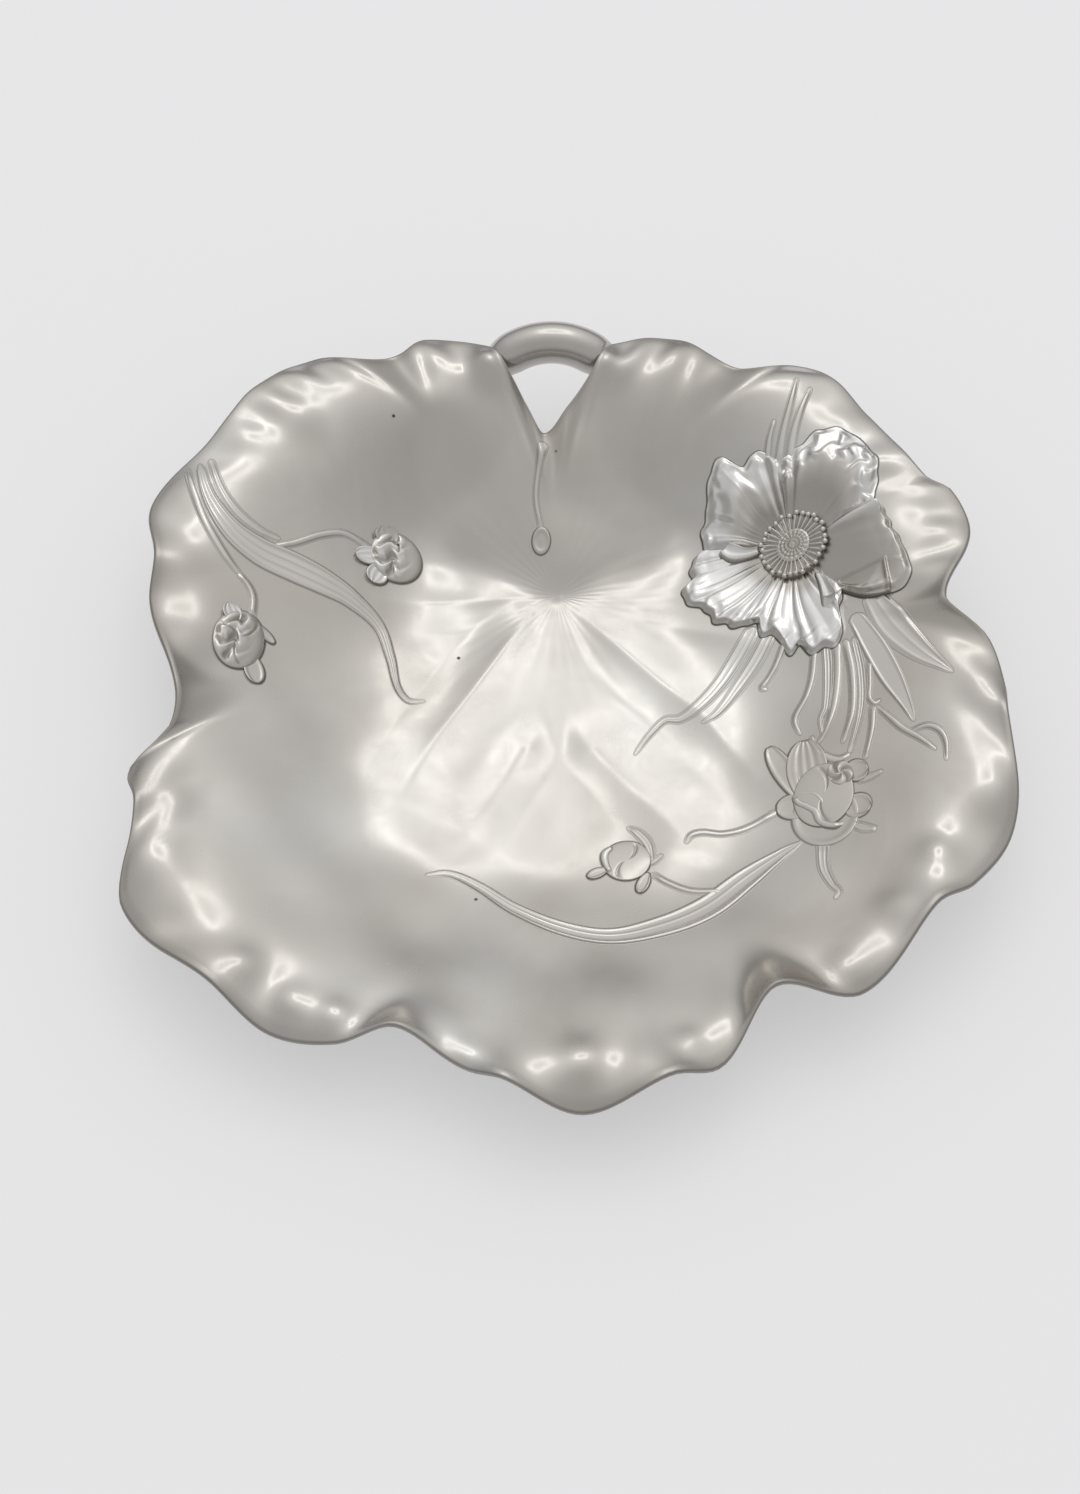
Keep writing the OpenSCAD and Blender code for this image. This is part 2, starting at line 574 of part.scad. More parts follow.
module poppy_stamens() {
    color(pewter_relief) seated([for (a = [0 : 60 : 300]) poppy * plan + stamen_out * along(a)])
        on_slope(poppy) {
            rotate_extrude($fn = 64)
                polygon([[stamen_in, -sink], [stamen_out, -sink], [stamen_out, 0.55 * stamen_h],
                         [stamen_in, 0.75 * stamen_h]]);
            for (k = [0 : anthers - 1])
                rotate([0, 0, 360 * k / anthers])
                    translate([stamen_out - 0.9 * anther_r, 0, stamen_h - anther_r])
                        sphere(anther_r, $fn = 24);
        }
}

module poppy_stem() { color(pewter_relief) ribbons(PATHS_POPPY_STEM, blade_lifts) prism(poppy_outline); }
module poppy_leaf_left() { color(pewter_relief) ribbons(PATHS_LEAF_LEFT, leaf_lifts) prism(poppy_outline); }
module poppy_leaf_middle() {
    color(pewter_relief) ribbons(PATHS_LEAF_MIDDLE, leaf_lifts) prism(poppy_outline);
}
module poppy_leaf_right() {
    color(pewter_relief) ribbons(PATHS_LEAF_RIGHT, leaf_lifts) prism(poppy_outline);
}
module poppy_leaf_outer() {
    color(pewter_relief) ribbons(PATHS_LEAF_OUTER, blade_lifts) prism(poppy_outline);
}

module bloom_petals() {
    rings = [bloom_ring(0, 0.9 * bud_h), bloom_ring(0.4, 0.8 * bud_h), bloom_ring(0.8, 0.6 * bud_h),
             bloom_ring(1, 0.3 * bud_h)];
    foot = sunk([bloom_ring(1, 0), bloom_ring(0, 0)]);
    color(pewter_relief) seated(bloom_outline) skin(concat(rings, foot));
}
module bloom_core() {
    color(pewter_relief) dome(bloom_core_at, bloom_core_size, bloom_turn, 1.25 * bud_h, 3, 0.4);
}
module bloom_sepals() { color(pewter_worn) ribbons(PATHS_BLOOM_SEPALS, leaf_lifts) prism(bloom_outline); }

module bud_front() { color(pewter_relief) dome(bud_front_at, bud_front_size, 0, bud_h); }
module bud_front_sepals() {
    color(pewter_worn) ribbons(PATHS_FRONT_SEPALS, leaf_lifts)
        prism(oval_outline(bud_front_at, bud_front_size, 0));
}
module bud_front_stem() {
    color(pewter_relief) ribbons(PATHS_FRONT_STEM, stem_lifts)
        prism(oval_outline(bud_front_at, bud_front_size, 0));
}
module sweep_leaf() { color(pewter_relief) ribbons(PATHS_SWEEP, blade_lifts) prism(bloom_outline); }
module sweep_tendril() { color(pewter_relief) ribbons(PATHS_TENDRIL, stem_lifts) prism(bloom_outline); }

module spray_leaf() { color(pewter_relief) ribbons(PATHS_SPRAY, blade_lifts); }
module bud_upper() { color(pewter_relief) dome(bud_upper_at, bud_upper_size, 0, bud_h, 3, 0.35); }
module bud_upper_stem() {
    color(pewter_relief) ribbons(PATHS_UPPER_STEM, stem_lifts)
        prism(oval_outline(bud_upper_at, bud_upper_size, 0));
}
module bud_lower() {
    color(pewter_relief) dome(bud_lower_at, bud_lower_size, bud_lower_turn, bud_h, 3, 0.35);
}
module bud_lower_stem() {
    color(pewter_relief) ribbons(PATHS_LOWER_STEM, stem_lifts)
        prism(oval_outline(bud_lower_at, bud_lower_size, bud_lower_turn));
}

leaf_dish();
loop_handle();
notch_stalk();
stalk_drop();
poppy_petal_left();
poppy_petal_back();
poppy_petal_right();
poppy_petal_front();
poppy_stamens();
poppy_seed_head();
poppy_stem();
poppy_leaf_left();
poppy_leaf_middle();
poppy_leaf_right();
poppy_leaf_outer();
bloom_petals();
bloom_core();
bloom_sepals();
bud_front();
bud_front_sepals();
bud_front_stem();
sweep_leaf();
sweep_tendril();
spray_leaf();
bud_upper();
bud_upper_stem();
bud_lower();
bud_lower_stem();
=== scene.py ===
# %% [markdown]
# # A cast pewter leaf tray
# The object is a shallow valet tray in the form of a ruffled leaf. The dish, its finger loop and the
# flowers on it are pewter, a soft grey metal that is cast, chased with small punches and polished by
# hand. Here every piece is rebuilt as a surface with numpy, in millimetres and in the solid model's
# frame, and then gets its finish, its light and a camera.

# %% Load the frame
import bpy
import numpy as np
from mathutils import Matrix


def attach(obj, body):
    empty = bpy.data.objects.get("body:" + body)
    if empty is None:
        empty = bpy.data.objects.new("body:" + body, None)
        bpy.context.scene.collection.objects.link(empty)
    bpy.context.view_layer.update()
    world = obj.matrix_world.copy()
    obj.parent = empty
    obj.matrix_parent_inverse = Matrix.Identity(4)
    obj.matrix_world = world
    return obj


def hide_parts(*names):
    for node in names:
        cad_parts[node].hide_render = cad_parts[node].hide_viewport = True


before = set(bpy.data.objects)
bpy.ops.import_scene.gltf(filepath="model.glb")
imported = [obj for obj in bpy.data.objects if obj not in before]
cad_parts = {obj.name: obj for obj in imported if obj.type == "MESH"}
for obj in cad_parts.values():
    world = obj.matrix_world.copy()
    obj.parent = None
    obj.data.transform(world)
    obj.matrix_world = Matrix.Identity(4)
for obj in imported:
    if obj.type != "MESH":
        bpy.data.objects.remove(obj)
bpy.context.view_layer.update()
MM = 0.001
print("nodes in the frame:", len(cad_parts))

# %% [markdown]
# ## The leaf's outline
# A rim that is hammered into lobes and folds has no simple formula, so a few points are listed round it:
# a lobe reaches out and droops, a fold is drawn in and stands up. A cubic through the points
# gives the smooth edge. The points are given about the heart, where the veins meet, because even the
# notch is then a plain function of the bearing.

# %% The rim
HEART = (0.0, 57.0)
RIM = np.array([
    # bearing in degrees, reach from the heart, height
    [2, 151, 41], [9, 147, 43], [11, 139, 46], [26, 131, 42], [35, 129, 44], [42, 123, 41],
    [48, 103, 48], [63, 106, 42], [77, 92, 45], [80, 79, 45], [86, 66, 40], [95, 58, 32],
    [100, 67, 40], [103, 78, 45], [106, 91, 45], [118, 107, 42], [129, 103, 49], [137, 126, 41],
    [150, 134, 45], [161, 138, 43], [173, 151, 39], [183, 146, 45], [189, 149, 38], [203, 147, 43],
    [209, 155, 38], [211, 173, 32], [216, 179, 39], [219, 187, 35], [224, 204, 29], [236, 206, 37],
    [243, 209, 27], [249, 204, 29], [254, 194, 36], [261, 201, 27], [265, 205, 35], [272, 213, 25],
    [280, 206, 35], [285, 204, 27], [292, 187, 38], [300, 199, 28], [311, 191, 38], [316, 194, 33],
    [324, 192, 32], [335, 172, 43], [339, 168, 38], [345, 158, 40], [349, 141, 46],
], float)
FULL_TURN = np.array([360.0, 0.0, 0.0])
RIM_ROUND = np.vstack([RIM[-3:] - FULL_TURN, RIM, RIM[:3] + FULL_TURN])


def cubic(knots, values, where):
    """A cubic through the values; a knot's slope is that of the chord between its two neighbours."""
    slope = np.empty_like(values)
    slope[1:-1] = (values[2:] - values[:-2]) / (knots[2:] - knots[:-2])[:, None]
    slope[0] = (values[1] - values[0]) / (knots[1] - knots[0])
    slope[-1] = (values[-1] - values[-2]) / (knots[-1] - knots[-2])
    i = np.clip(np.searchsorted(knots, where, side="right") - 1, 0, len(knots) - 2)
    gap = (knots[i + 1] - knots[i])[..., None]
    t = (where - knots[i])[..., None] / gap
    start = (2 * t**3 - 3 * t**2 + 1) * values[i] + (t**3 - 2 * t**2 + t) * gap * slope[i]
    return start + (3 * t**2 - 2 * t**3) * values[i + 1] + (t**3 - t**2) * gap * slope[i + 1]


def rim_at(way):
    """Reach and height of the rim at each bearing, from the cubic through the rim's points."""
    found = cubic(RIM_ROUND[:, 0], RIM_ROUND[:, 1:], np.mod(np.degrees(way), 360.0))
    return found[..., 0], found[..., 1]


print("rim points:", len(RIM), "longest reach:", RIM[:, 1].max(), "mm")

# %% [markdown]
# ## The dish's large form
# The bowl rises from a small level middle in one smooth curve that has almost levelled out at the
# crest. Behind the heart a straight scoop climbs to the notch, and where it leaves the bowl the metal
# has a crease. Outside the crest the lip bends over to the rim's own height. Each is a function of the
# plan, so anything that sits on the dish can ask for the height under it.

# %% Bowl, scoop and lip
FLOOR_TOP, FLOOR_R = 2.0, 20.0
CREST_R, CORNERS, CORNER, CREST_SLOPE = 151.0, 4, 4.0, 0.5
WALL_H, WALL_TILT = 39.0, 7.5
SCOOP_Z, SCOOP_SLOPE, SCOOP_SPREAD, SCOOP_TIP, CREASE = 5.2, 0.5, 0.45, 8.0, 0.8
DIPS = [(50, 82, -8.5, 17), (-50, 81, -8.0, 20)]  # place in plan, height, radius
LIP_W = 28.0


def smooth(t):
    """The S curve t*t*(3 - 2t), held at 0 and 1 outside its span."""
    t = np.clip(t, 0.0, 1.0)
    return t * t * (3.0 - 2.0 * t)


def bells(x, y, spots):
    """Sum of round swells and hollows, each a bell of its own height and radius."""
    total = np.zeros_like(x)
    for sx, sy, high, radius in spots:
        total += high * np.exp(-((x - sx) ** 2 + (y - sy) ** 2) / (2 * radius**2))
    return total


def bowl_z(x, y):
    """A fourth power curve that leaves the floor level and runs on straight past the crest."""
    way = np.arctan2(y, x)
    crest = CREST_R - CORNER * np.cos(CORNERS * way)
    high = WALL_H + WALL_TILT * np.sin(way)
    out = np.maximum((np.hypot(x, y) - FLOOR_R) / (crest - FLOOR_R), 0)
    curve = out**3 * (4 - CREST_SLOPE - (3 - CREST_SLOPE) * out)
    return FLOOR_TOP + (high - FLOOR_TOP) * np.where(out < 1, curve, 1 + CREST_SLOPE * (out - 1))


def wall_z(x, y):
    """The higher of bowl and scoop, a plane behind a hyperbola at the heart; the join is rounded."""
    bowl = bowl_z(x, y) + bells(x, y, DIPS)
    edge = SCOOP_SPREAD * (np.hypot(x - HEART[0], SCOOP_TIP) - SCOOP_TIP)
    scoop = SCOOP_Z + SCOOP_SLOPE * (y - HEART[1] - edge)
    return (bowl + scoop + np.sqrt((bowl - scoop) ** 2 + CREASE**2)) / 2


def about_heart(x, y):
    """Distance and bearing of a place, seen from the heart."""
    return np.hypot(x - HEART[0], y - HEART[1]), np.arctan2(y - HEART[1], x - HEART[0])


def from_heart(away, way):
    """The place at a distance and bearing from the heart."""
    return HEART[0] + away * np.cos(way), HEART[1] + away * np.sin(way)


def lip_share(x, y):
    """The way across the lip, from 0 at its start to 1 at the rim, and the rim's height and place."""
    away, way = about_heart(x, y)
    reach, high = rim_at(way)
    return np.clip(1 - (reach - away) / LIP_W, 0, 1), high, *from_heart(reach, way)


print("crest height:", WALL_H, "mm, tilted by", WALL_TILT)

# %% [markdown]
# ## Veins, swells and hammer marks
# Veins run out from the heart as ridges with almost flat faces, so the floor catches the light like a
# cut star. The hammer left soft swells, long shallow waves on the wall and short ruffles near the edge.
# Bells and sines are enough for these, and they stay smooth.

# %% Veins, swells and hammer marks
VEINS = [
    # points along the ridge, height at its start and its end, reach of left and right flank, rounding
    ([(0, 57), (48, 79)], 0.8, 0.4, 6, 10, 0.8),
    ([(-8, 57), (-65, 52)], 2.3, 0.7, 8, 11, 0.8),
    ([(-10, 48), (-43, -4), (-56, -30)], 4.4, 0.6, 20, 10, 1.0),
    ([(8, 50), (52, 6), (73, -26)], 3.6, 0.9, 22, 12, 0.8),
    ([(34, 46), (69, 35)], 1.8, 0.6, 16, 10, 1.0),
    ([(0, 52), (1, 20), (2, -5)], 1.8, 0.2, 20, 20, 7.0),
    ([(14, -9), (44, -44)], 1.9, 0.9, 19, 8, 2.0),
    ([(-13, -9), (-33, -43)], 1.9, 0.9, 8, 19, 2.0),
]
VEIN_JOIN, HEART_REACH, SIDE_BLEND = 3.0, 34.0, 4.0
FACE_REACH, FACE_POWER = 1.6, 1.4
SWELLS = [
    # place in plan, height, radius
    (-103, -107, 1.6, 4.2), (-88, -119, 1.8, 4.2), (-73, -124, 1.6, 3.6), (-31, -137, 1.4, 4.2),
    (7, -139, 2.2, 5.4), (42, -132, 1.4, 3.6), (94, -107, 1.8, 4.2), (112, -85, 2.0, 4.8),
    (127, -66, 1.8, 4.2), (-133, -47, 1.6, 4.8), (150, -3, 1.4, 4.8), (-97, 113, 1.4, 6.0),
    (-44, 123, 1.4, 6.0), (-26, 137, 4.0, 4.8), (20, 137, 4.0, 4.8), (-130, -92, -2.4, 6.5),
    (-138, -70, 2.8, 8.0), (150, -45, 2.8, 8.0), (-44, -37, 1.2, 12.0), (-7, -35, 1.1, 11.0),
    (47, -29, 1.1, 13.0), (-51, 27, 0.9, 11.0),
]
HAMMER = [(61, 0.3), (47, 0.24), (39, 0.18), (31, 0.12), (26, 0.08)]  # wave length, height
HAMMER_TURN, HAMMER_FIRST, HAMMER_PHASE = 2.4, 0.5, 1.7
HAMMER_FROM, HAMMER_FADE = 20.0, 50.0
RUFFLES, RUFFLE_H, RUFFLE_AT, RUFFLE_W = 38, 0.7, 0.62, 0.3
RUFFLE_DRIFT = [(5, 2.2), (3, 1.4)]  # waves round the rim, shift


def bell(t, at, width):
    """A bell of height 1 round one place."""
    return np.exp(-(((t - at) / width) ** 2))


def vein_z(x, y):
    """Each ridge is height * (1 - distance / reach of that flank) ** power, with a rounded crest; they
    join as the cube root of the sum of their cubes and fade out at the heart."""
    total = np.zeros_like(x)
    for points, high, low, left, right, rounding in VEINS:
        best = np.zeros_like(x)
        spans = list(zip(points, points[1:]))
        for k, ((ax, ay), (bx, by)) in enumerate(spans):
            dx, dy = bx - ax, by - ay
            size = np.hypot(dx, dy)
            t = np.clip(((x - ax) * dx + (y - ay) * dy) / size**2, 0, 1)
            away = np.hypot(x - ax - t * dx, y - ay - t * dy)
            side = (dx * (y - ay) - dy * (x - ax)) / size / (SIDE_BLEND + away)
            flank = right + (left - right) * smooth(0.5 + side)
            crest = high + (low - high) * (k + t) / len(spans)
            down = (np.sqrt(away**2 + rounding**2) - rounding) / (FACE_REACH * flank)
            best = np.maximum(best, crest * np.maximum(1 - down, 0) ** FACE_POWER)
        total += best**VEIN_JOIN
    return total ** (1 / VEIN_JOIN) * smooth(about_heart(x, y)[0] / HEART_REACH)


def hammer_z(x, y):
    """A few long sine waves that cross each other, and a short wave round the lip, unevenly spaced."""
    total = np.zeros_like(x)
    for k, (length, high) in enumerate(HAMMER):
        turn = HAMMER_TURN * k + HAMMER_FIRST
        along_wave = x * np.cos(turn) + y * np.sin(turn)
        total += high * np.sin(2 * np.pi * along_wave / length + HAMMER_PHASE * k)
    way = about_heart(x, y)[1]
    drift = sum(shift * np.sin(waves * way) for waves, shift in RUFFLE_DRIFT)
    ruffle = RUFFLE_H * np.sin(RUFFLES * way + drift) * bell(lip_share(x, y)[0], RUFFLE_AT, RUFFLE_W)
    return total * smooth((np.hypot(x, y) - HAMMER_FROM) / HAMMER_FADE) + ruffle


def sheet_z(x, y):
    """The wall, bent over the lip by the cube of the way across it, with swells and hammer marks."""
    across, high, rim_x, rim_y = lip_share(x, y)
    bent = wall_z(x, y) + (high - wall_z(rim_x, rim_y)) * across**3
    return bent + bells(x, y, SWELLS) + hammer_z(x, y)


def dish_z(x, y):
    """Height of the dish's upper face: sheet and veins together."""
    return sheet_z(x, y) + vein_z(x, y)


heart_z = dish_z(np.array([HEART[0]]), np.array([HEART[1]]))[0]
print("heart height %.1f mm" % heart_z)

# %% [markdown]
# ## Turning arrays into pieces
# A surface is a grid of points, so its faces follow from the grid's shape. One helper numbers its quads,
# another makes the mesh and tells the frame which solid it stands for. Every point has a value
# patina_and_painted_light: above 0 it is painted darker, for tarnish in recesses and for painted shade,
# below 0 lighter, for crests that the cloth rubs bright and for painted highlights.

# %% Mesh helpers
PIECES = []


def grid_quads(rows, cols, wrap=False):
    """Corner numbers of a grid's quads; they face up if rows go out and columns go left."""
    i = np.arange(rows - 1)[:, None]
    j = np.arange(cols if wrap else cols - 1)
    k = (j + 1) % cols
    quads = np.stack([i * cols + j, (i + 1) * cols + j, (i + 1) * cols + k, i * cols + k], -1)
    return quads.reshape(-1, 4)


def fan(centre, ring):
    """Triangles from one point to a closed ring of points."""
    return np.stack([np.full(len(ring), centre), ring, np.roll(ring, -1)], -1)


def closed_rings(rings, first, last):
    """Points and faces of a body of rings, closed at both ends by a fan to a middle point."""
    rows, cols = rings.shape[:2]
    count = rows * cols
    ends = [fan(count, np.arange(cols)), fan(count + 1, np.arange(count - cols, count)[::-1])]
    points = np.concatenate([rings.reshape(-1, 3), [first, last]])
    return points, [grid_quads(rows, cols, wrap=True), *ends]


def put(name, data):
    """An object for some data, linked into the scene."""
    thing = bpy.data.objects.new(name, data)
    bpy.context.collection.objects.link(thing)
    return thing


def make_piece(node, slot, points, faces, patina_and_painted_light):
    """A mesh from points in millimetres, riding on the body and standing for its solid node."""
    name = node + "_finish"
    mesh = bpy.data.meshes.new(name)
    corners = [f for part in faces for f in part.tolist()]
    mesh.from_pydata((np.asarray(points) * MM).tolist(), [], corners)
    tones = mesh.attributes.new("patina_and_painted_light", "FLOAT", "POINT").data
    tones.foreach_set("value", np.asarray(patina_and_painted_light, np.float32))
    mesh.shade_smooth()
    piece = put(name, mesh)
    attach(piece, "root")
    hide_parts(node)
    PIECES.append((piece, slot))
    print("%-24s %6d points %6d faces" % (name, len(mesh.vertices), len(mesh.polygons)))


# %% [markdown]
# ## The dish
# The real dish is one casting about 2.4 mm thick with a rounded edge. A polar grid about the heart
# follows its ridges and its ruffles best: rings run from the heart to the rim, round the edge as half a
# circle, and back along the underside, where the veins do not show and the floor is ground flat.

# %% Dish mesh
WALL_T = 2.4
BASE_R, BASE_BLEND = 46.0, 10.0
SPOKES, TOP_RINGS, BEAD_RINGS, UNDER_RINGS = 520, 140, 6, 28
FIRST_SHARE, ROUND_REACH, ROUND_POWER = 0.02, 60.0, 1.6
RIM_DARKENING, UNDER_SHADE_AND_TARNISH = 0.3, 0.5
RIM_DARK_FROM, RIM_DARK_FADE = 0.8, 0.2

way = np.linspace(0, 2 * np.pi, SPOKES, endpoint=False)
inner_reach = rim_at(way)[0] - WALL_T / 2


def polar_ring(share):
    """Plan points on rings that are round near the heart and take on the rim's outline further out."""
    out = ROUND_REACH * share + (inner_reach - ROUND_REACH) * share**ROUND_POWER
    return from_heart(out, way)


top_x, top_y = polar_ring(np.linspace(FIRST_SHARE, 1, TOP_RINGS)[:, None])
top = np.stack([top_x, top_y, dish_z(top_x, top_y)], -1)

under_x, under_y = polar_ring(np.linspace(1, FIRST_SHARE, UNDER_RINGS)[:, None])
off_base = smooth((np.hypot(under_x, under_y) - BASE_R) / BASE_BLEND)
under_high = np.maximum(sheet_z(under_x, under_y) - WALL_T, 0.0) * off_base
under = np.stack([under_x, under_y, under_high], -1)

turn = np.linspace(0, np.pi, BEAD_RINGS + 2)[1:-1, None]
bead_out = inner_reach + WALL_T / 2 * np.sin(turn)
upper, lower = top[-1, :, 2], under[0, :, 2]
bead_high = (upper + lower) / 2 + (upper - lower) / 2 * np.cos(turn)
bead = np.stack([*from_heart(bead_out, way), bead_high], -1)

rings = np.concatenate([top, bead, under])
points, faces = closed_rings(rings, [*HEART, heart_z], [*HEART, under[-1, :, 2].mean()])
# The rounded edge and the underside are painted dark, as tarnish and as the shade under the lip; the top
# darkens across the outer lip towards the rim.
dish_darkening = np.full(rings.shape[:2], UNDER_SHADE_AND_TARNISH)
dish_darkening[:TOP_RINGS] = RIM_DARKENING * smooth((lip_share(top_x, top_y)[0] - RIM_DARK_FROM) / RIM_DARK_FADE)
make_piece("leaf_dish", "dish", points, faces, np.append(dish_darkening.ravel(), [0, UNDER_SHADE_AND_TARNISH]))

# %% [markdown]
# ## The finger loop
# Behind the notch a round bar bends from one shoulder of the leaf to the other. It is a circle carried
# along an arc that leans back. Its ends pass under the rim and are pressed up against the underside, so
# that the feet run out into the leaf as a casting does.

# %% Loop handle mesh
LOOP_TOP = (-2.0, 147.2, 45.4)
LOOP_R, LOOP_HALF_TURN, LOOP_LEAN = 30.0, 58.0, 55.0
BAR_D, BAR_TAPER, TUCK = 16.0, 0.35, 3.0
FOOT_H, FOOT_COVER, FOOT_FADE = 4.0, 0.8, 0.25
BAR_STEPS, BAR_SIDES = 120, 48

bend = np.radians(np.linspace(-LOOP_HALF_TURN, LOOP_HALF_TURN, BAR_STEPS))[:, None]
from_top = np.abs(bend) / bend.max()
lean = np.radians(LOOP_LEAN)
side = np.linspace(0, 2 * np.pi, BAR_SIDES, endpoint=False)
thick = BAR_D / 2 * (1 - BAR_TAPER * smooth(2 * from_top - 1))
out, lift = thick * np.cos(side), thick * np.sin(side)
arc = (LOOP_R + out) * np.cos(bend) - LOOP_R
bar_x = LOOP_TOP[0] + (LOOP_R + out) * np.sin(bend)
bar_y = LOOP_TOP[1] + arc * np.cos(lean) - lift * np.sin(lean)
bar_z = LOOP_TOP[2] + arc * np.sin(lean) + lift * np.cos(lean)
bar_away, bar_way = about_heart(bar_x, bar_y)
inside = smooth((rim_at(bar_way)[0] - bar_away) / TUCK)
foot = FOOT_H * smooth((1 - from_top) / FOOT_FADE)
leaf_here = sheet_z(bar_x, bar_y)
pressed = np.clip(bar_z, leaf_here - WALL_T - foot, leaf_here - FOOT_COVER)
bar = np.stack([bar_x, bar_y, bar_z + (pressed - bar_z) * inside], -1)
points, faces = closed_rings(bar, bar[0].mean(axis=0), bar[-1].mean(axis=0))
make_piece("loop_handle", "handle", points, faces, np.zeros(len(points)))

# %% [markdown]
# ## How a relief is seated
# The flowers are chased: the punch leaves a low raised form with a fine sunken line round it, and that
# line keeps a dark deposit and the shade of its crease, both painted here. Every raised patch here is a
# grid of plan points with a lift above the metal. Its edge drops to the dish, runs out in a narrow dark
# line and dips below the surface, and a copy of the grid closes it underneath. So each form is a closed
# body that grips the dish on any slope.

# %% Patches and joins
SINK = 1.0
EDGE_RINGS = [
    # offset outwards, share of the edge's lift that is left, lift added, darkness of the line, painted
    # as deposit and crease shade
    (0.12, 0.5, 0.0, 0.5), (0.24, 0.0, 0.05, 1.0), (0.45, 0.0, 0.04, 0.6),
    (0.65, 0.0, 0.02, 0.0), (0.75, 0.0, -SINK, 0.0),
]


def loop_round(rows, cols):
    """Point numbers round the border of an open grid."""
    number = np.arange(rows * cols).reshape(rows, cols)
    return np.concatenate([number[:-1, 0], number[-1, :-1], number[:0:-1, -1], number[0, :0:-1]])


def facing_up(x, y, faces):
    """True where most faces of a patch run anticlockwise seen from above."""
    a, b, c = faces[:, 0], faces[:, 1], faces[:, 2]
    return np.sum((x[b] - x[a]) * (y[c] - y[a]) - (x[c] - x[a]) * (y[b] - y[a])) > 0


def seat(x, y, lift, top, border, patina_and_painted_light, line):
    """Close a raised grid: top, edge rings with a line of some darkness, and a sunken copy below."""
    x, y, lift = x.ravel(), y.ravel(), lift.ravel()
    bx, by = x[border], y[border]
    if np.sum(bx * np.roll(by, -1) - np.roll(bx, -1) * by) < 0:
        border, bx, by = border[::-1], bx[::-1], by[::-1]
    tx, ty = np.roll(bx, -1) - np.roll(bx, 1), np.roll(by, -1) - np.roll(by, 1)
    size = np.maximum(np.hypot(tx, ty), 1e-6)
    nx, ny = ty / size, -tx / size
    plan, lifts, dark = [np.stack([x, y], -1)], [lift], [patina_and_painted_light.ravel()]
    for offset, keep, add_lift, tone in EDGE_RINGS:
        plan.append(np.stack([bx + nx * offset, by + ny * offset], -1))
        lifts.append(lift[border] * keep + add_lift)
        dark.append(np.full(len(border), tone * line))
    plan.append(np.stack([x, y], -1))
    lifts.append(np.full(len(x), -SINK))
    dark.append(np.zeros(len(x)))
    n, m = len(x), len(border)
    below = n + len(EDGE_RINGS) * m
    edges = [border, *(n + k * m + np.arange(m) for k in range(len(EDGE_RINGS))), below + border]
    parts = [np.stack([a, b, np.roll(b, -1), np.roll(a, -1)], -1) for a, b in zip(edges, edges[1:])]
    for faces in top:
        up = faces if facing_up(x, y, faces) else faces[:, ::-1]
        parts += [up, up[:, ::-1] + below]
    plan = np.concatenate(plan)
    high = dish_z(plan[:, 0], plan[:, 1]) + np.concatenate(lifts)
    return np.column_stack([plan, high]), parts, np.concatenate(dark)


def open_patch(x, y, lift, patina_and_painted_light, line):
    """A raised patch on an open grid of plan points."""
    rows, cols = x.shape
    return seat(x, y, lift, [grid_quads(rows, cols)], loop_round(rows, cols), patina_and_painted_light + 0 * x, line)


def round_patch(x, y, lift, patina_and_painted_light, line):
    """A raised patch on rings about a middle; the first ring is small and closed by a fan."""
    rows, cols = x.shape
    px, py, high, dark = (np.append(v.ravel(), v[0].mean()) for v in (x, y, lift, patina_and_painted_light))
    border = np.arange((rows - 1) * cols, rows * cols)
    top = [grid_quads(rows, cols, wrap=True), fan(rows * cols, np.arange(cols))]
    return seat(px, py, high, top, border, dark, line)


def relief(node, patches):
    """Join patches into one piece of the relief."""
    points, faces, dark, start = [], [], [], 0
    for p, parts, tone in patches:
        points.append(p)
        faces += [part + start for part in parts]
        dark.append(tone)
        start += len(p)
    make_piece(node, "relief", np.concatenate(points), faces, np.concatenate(dark))


print("rings round a relief:", len(EDGE_RINGS))

# %% [markdown]
# ## Ribbons, petals, lobes and domes
# Four plan shapes make all the flowers. A ribbon has a width along a path and serves for leaves and
# stems. A petal fans out from a centre to an outline. A lobe is a short petal with a round tip. A dome
# is a ring of rings. Away from the poppy the relief is low and shows as fine lines.

# %% Sections of leaves and stems
BLADE_RISE, WIRE_RISE, STEM_RISE = 0.22, 0.38, 0.7
BLADE_WIRES = [(0.78, 1.0, 0.16), (-0.8, 0.6, 0.16), (0.05, 0.4, 0.08)]  # place, height, width


def ridges(t, rows):
    """Sum of bells along one direction, from rows of place, height and width."""
    return sum(high * bell(t, at, width) for at, high, width in rows)


def blade(t, s):
    """A chased leaf: level, with a raised wire along both edges and a finer one along its middle."""
    edge = 1 - 0.85 * smooth((np.abs(s) - 0.75) / 0.25)
    return (BLADE_RISE + WIRE_RISE * ridges(s, BLADE_WIRES)) * edge + 0 * t


def wired(level, wires):
    """The section of a leaf that is level but for its wires, given by place, height and width."""
    return lambda t, s: level + ridges(s, wires) + 0 * t


def round_bar(level, rise, flat):
    """The section of a stem or a rolled lip: the upper part of an ellipse."""
    return lambda t, s: level + rise * np.sqrt(1 - flat * s**2) + 0 * t


round_stem = round_bar(0.0, STEM_RISE, 0.96)
print("stem rise:", STEM_RISE, "mm")

# %% Plan shapes
FADE, END_LIFT, ROUND_END = 0.14, 0.25, 0.03
THIN_HALF, FULL_HALF = 0.25, 0.9
LOBE_ROWS, LOBE_COLS, LOBE_BLUNT, LOBE_LINE = 36, 31, 0.45, 0.8
BORDER_RISE, PLEAT_DEPTH = 0.22, 0.08


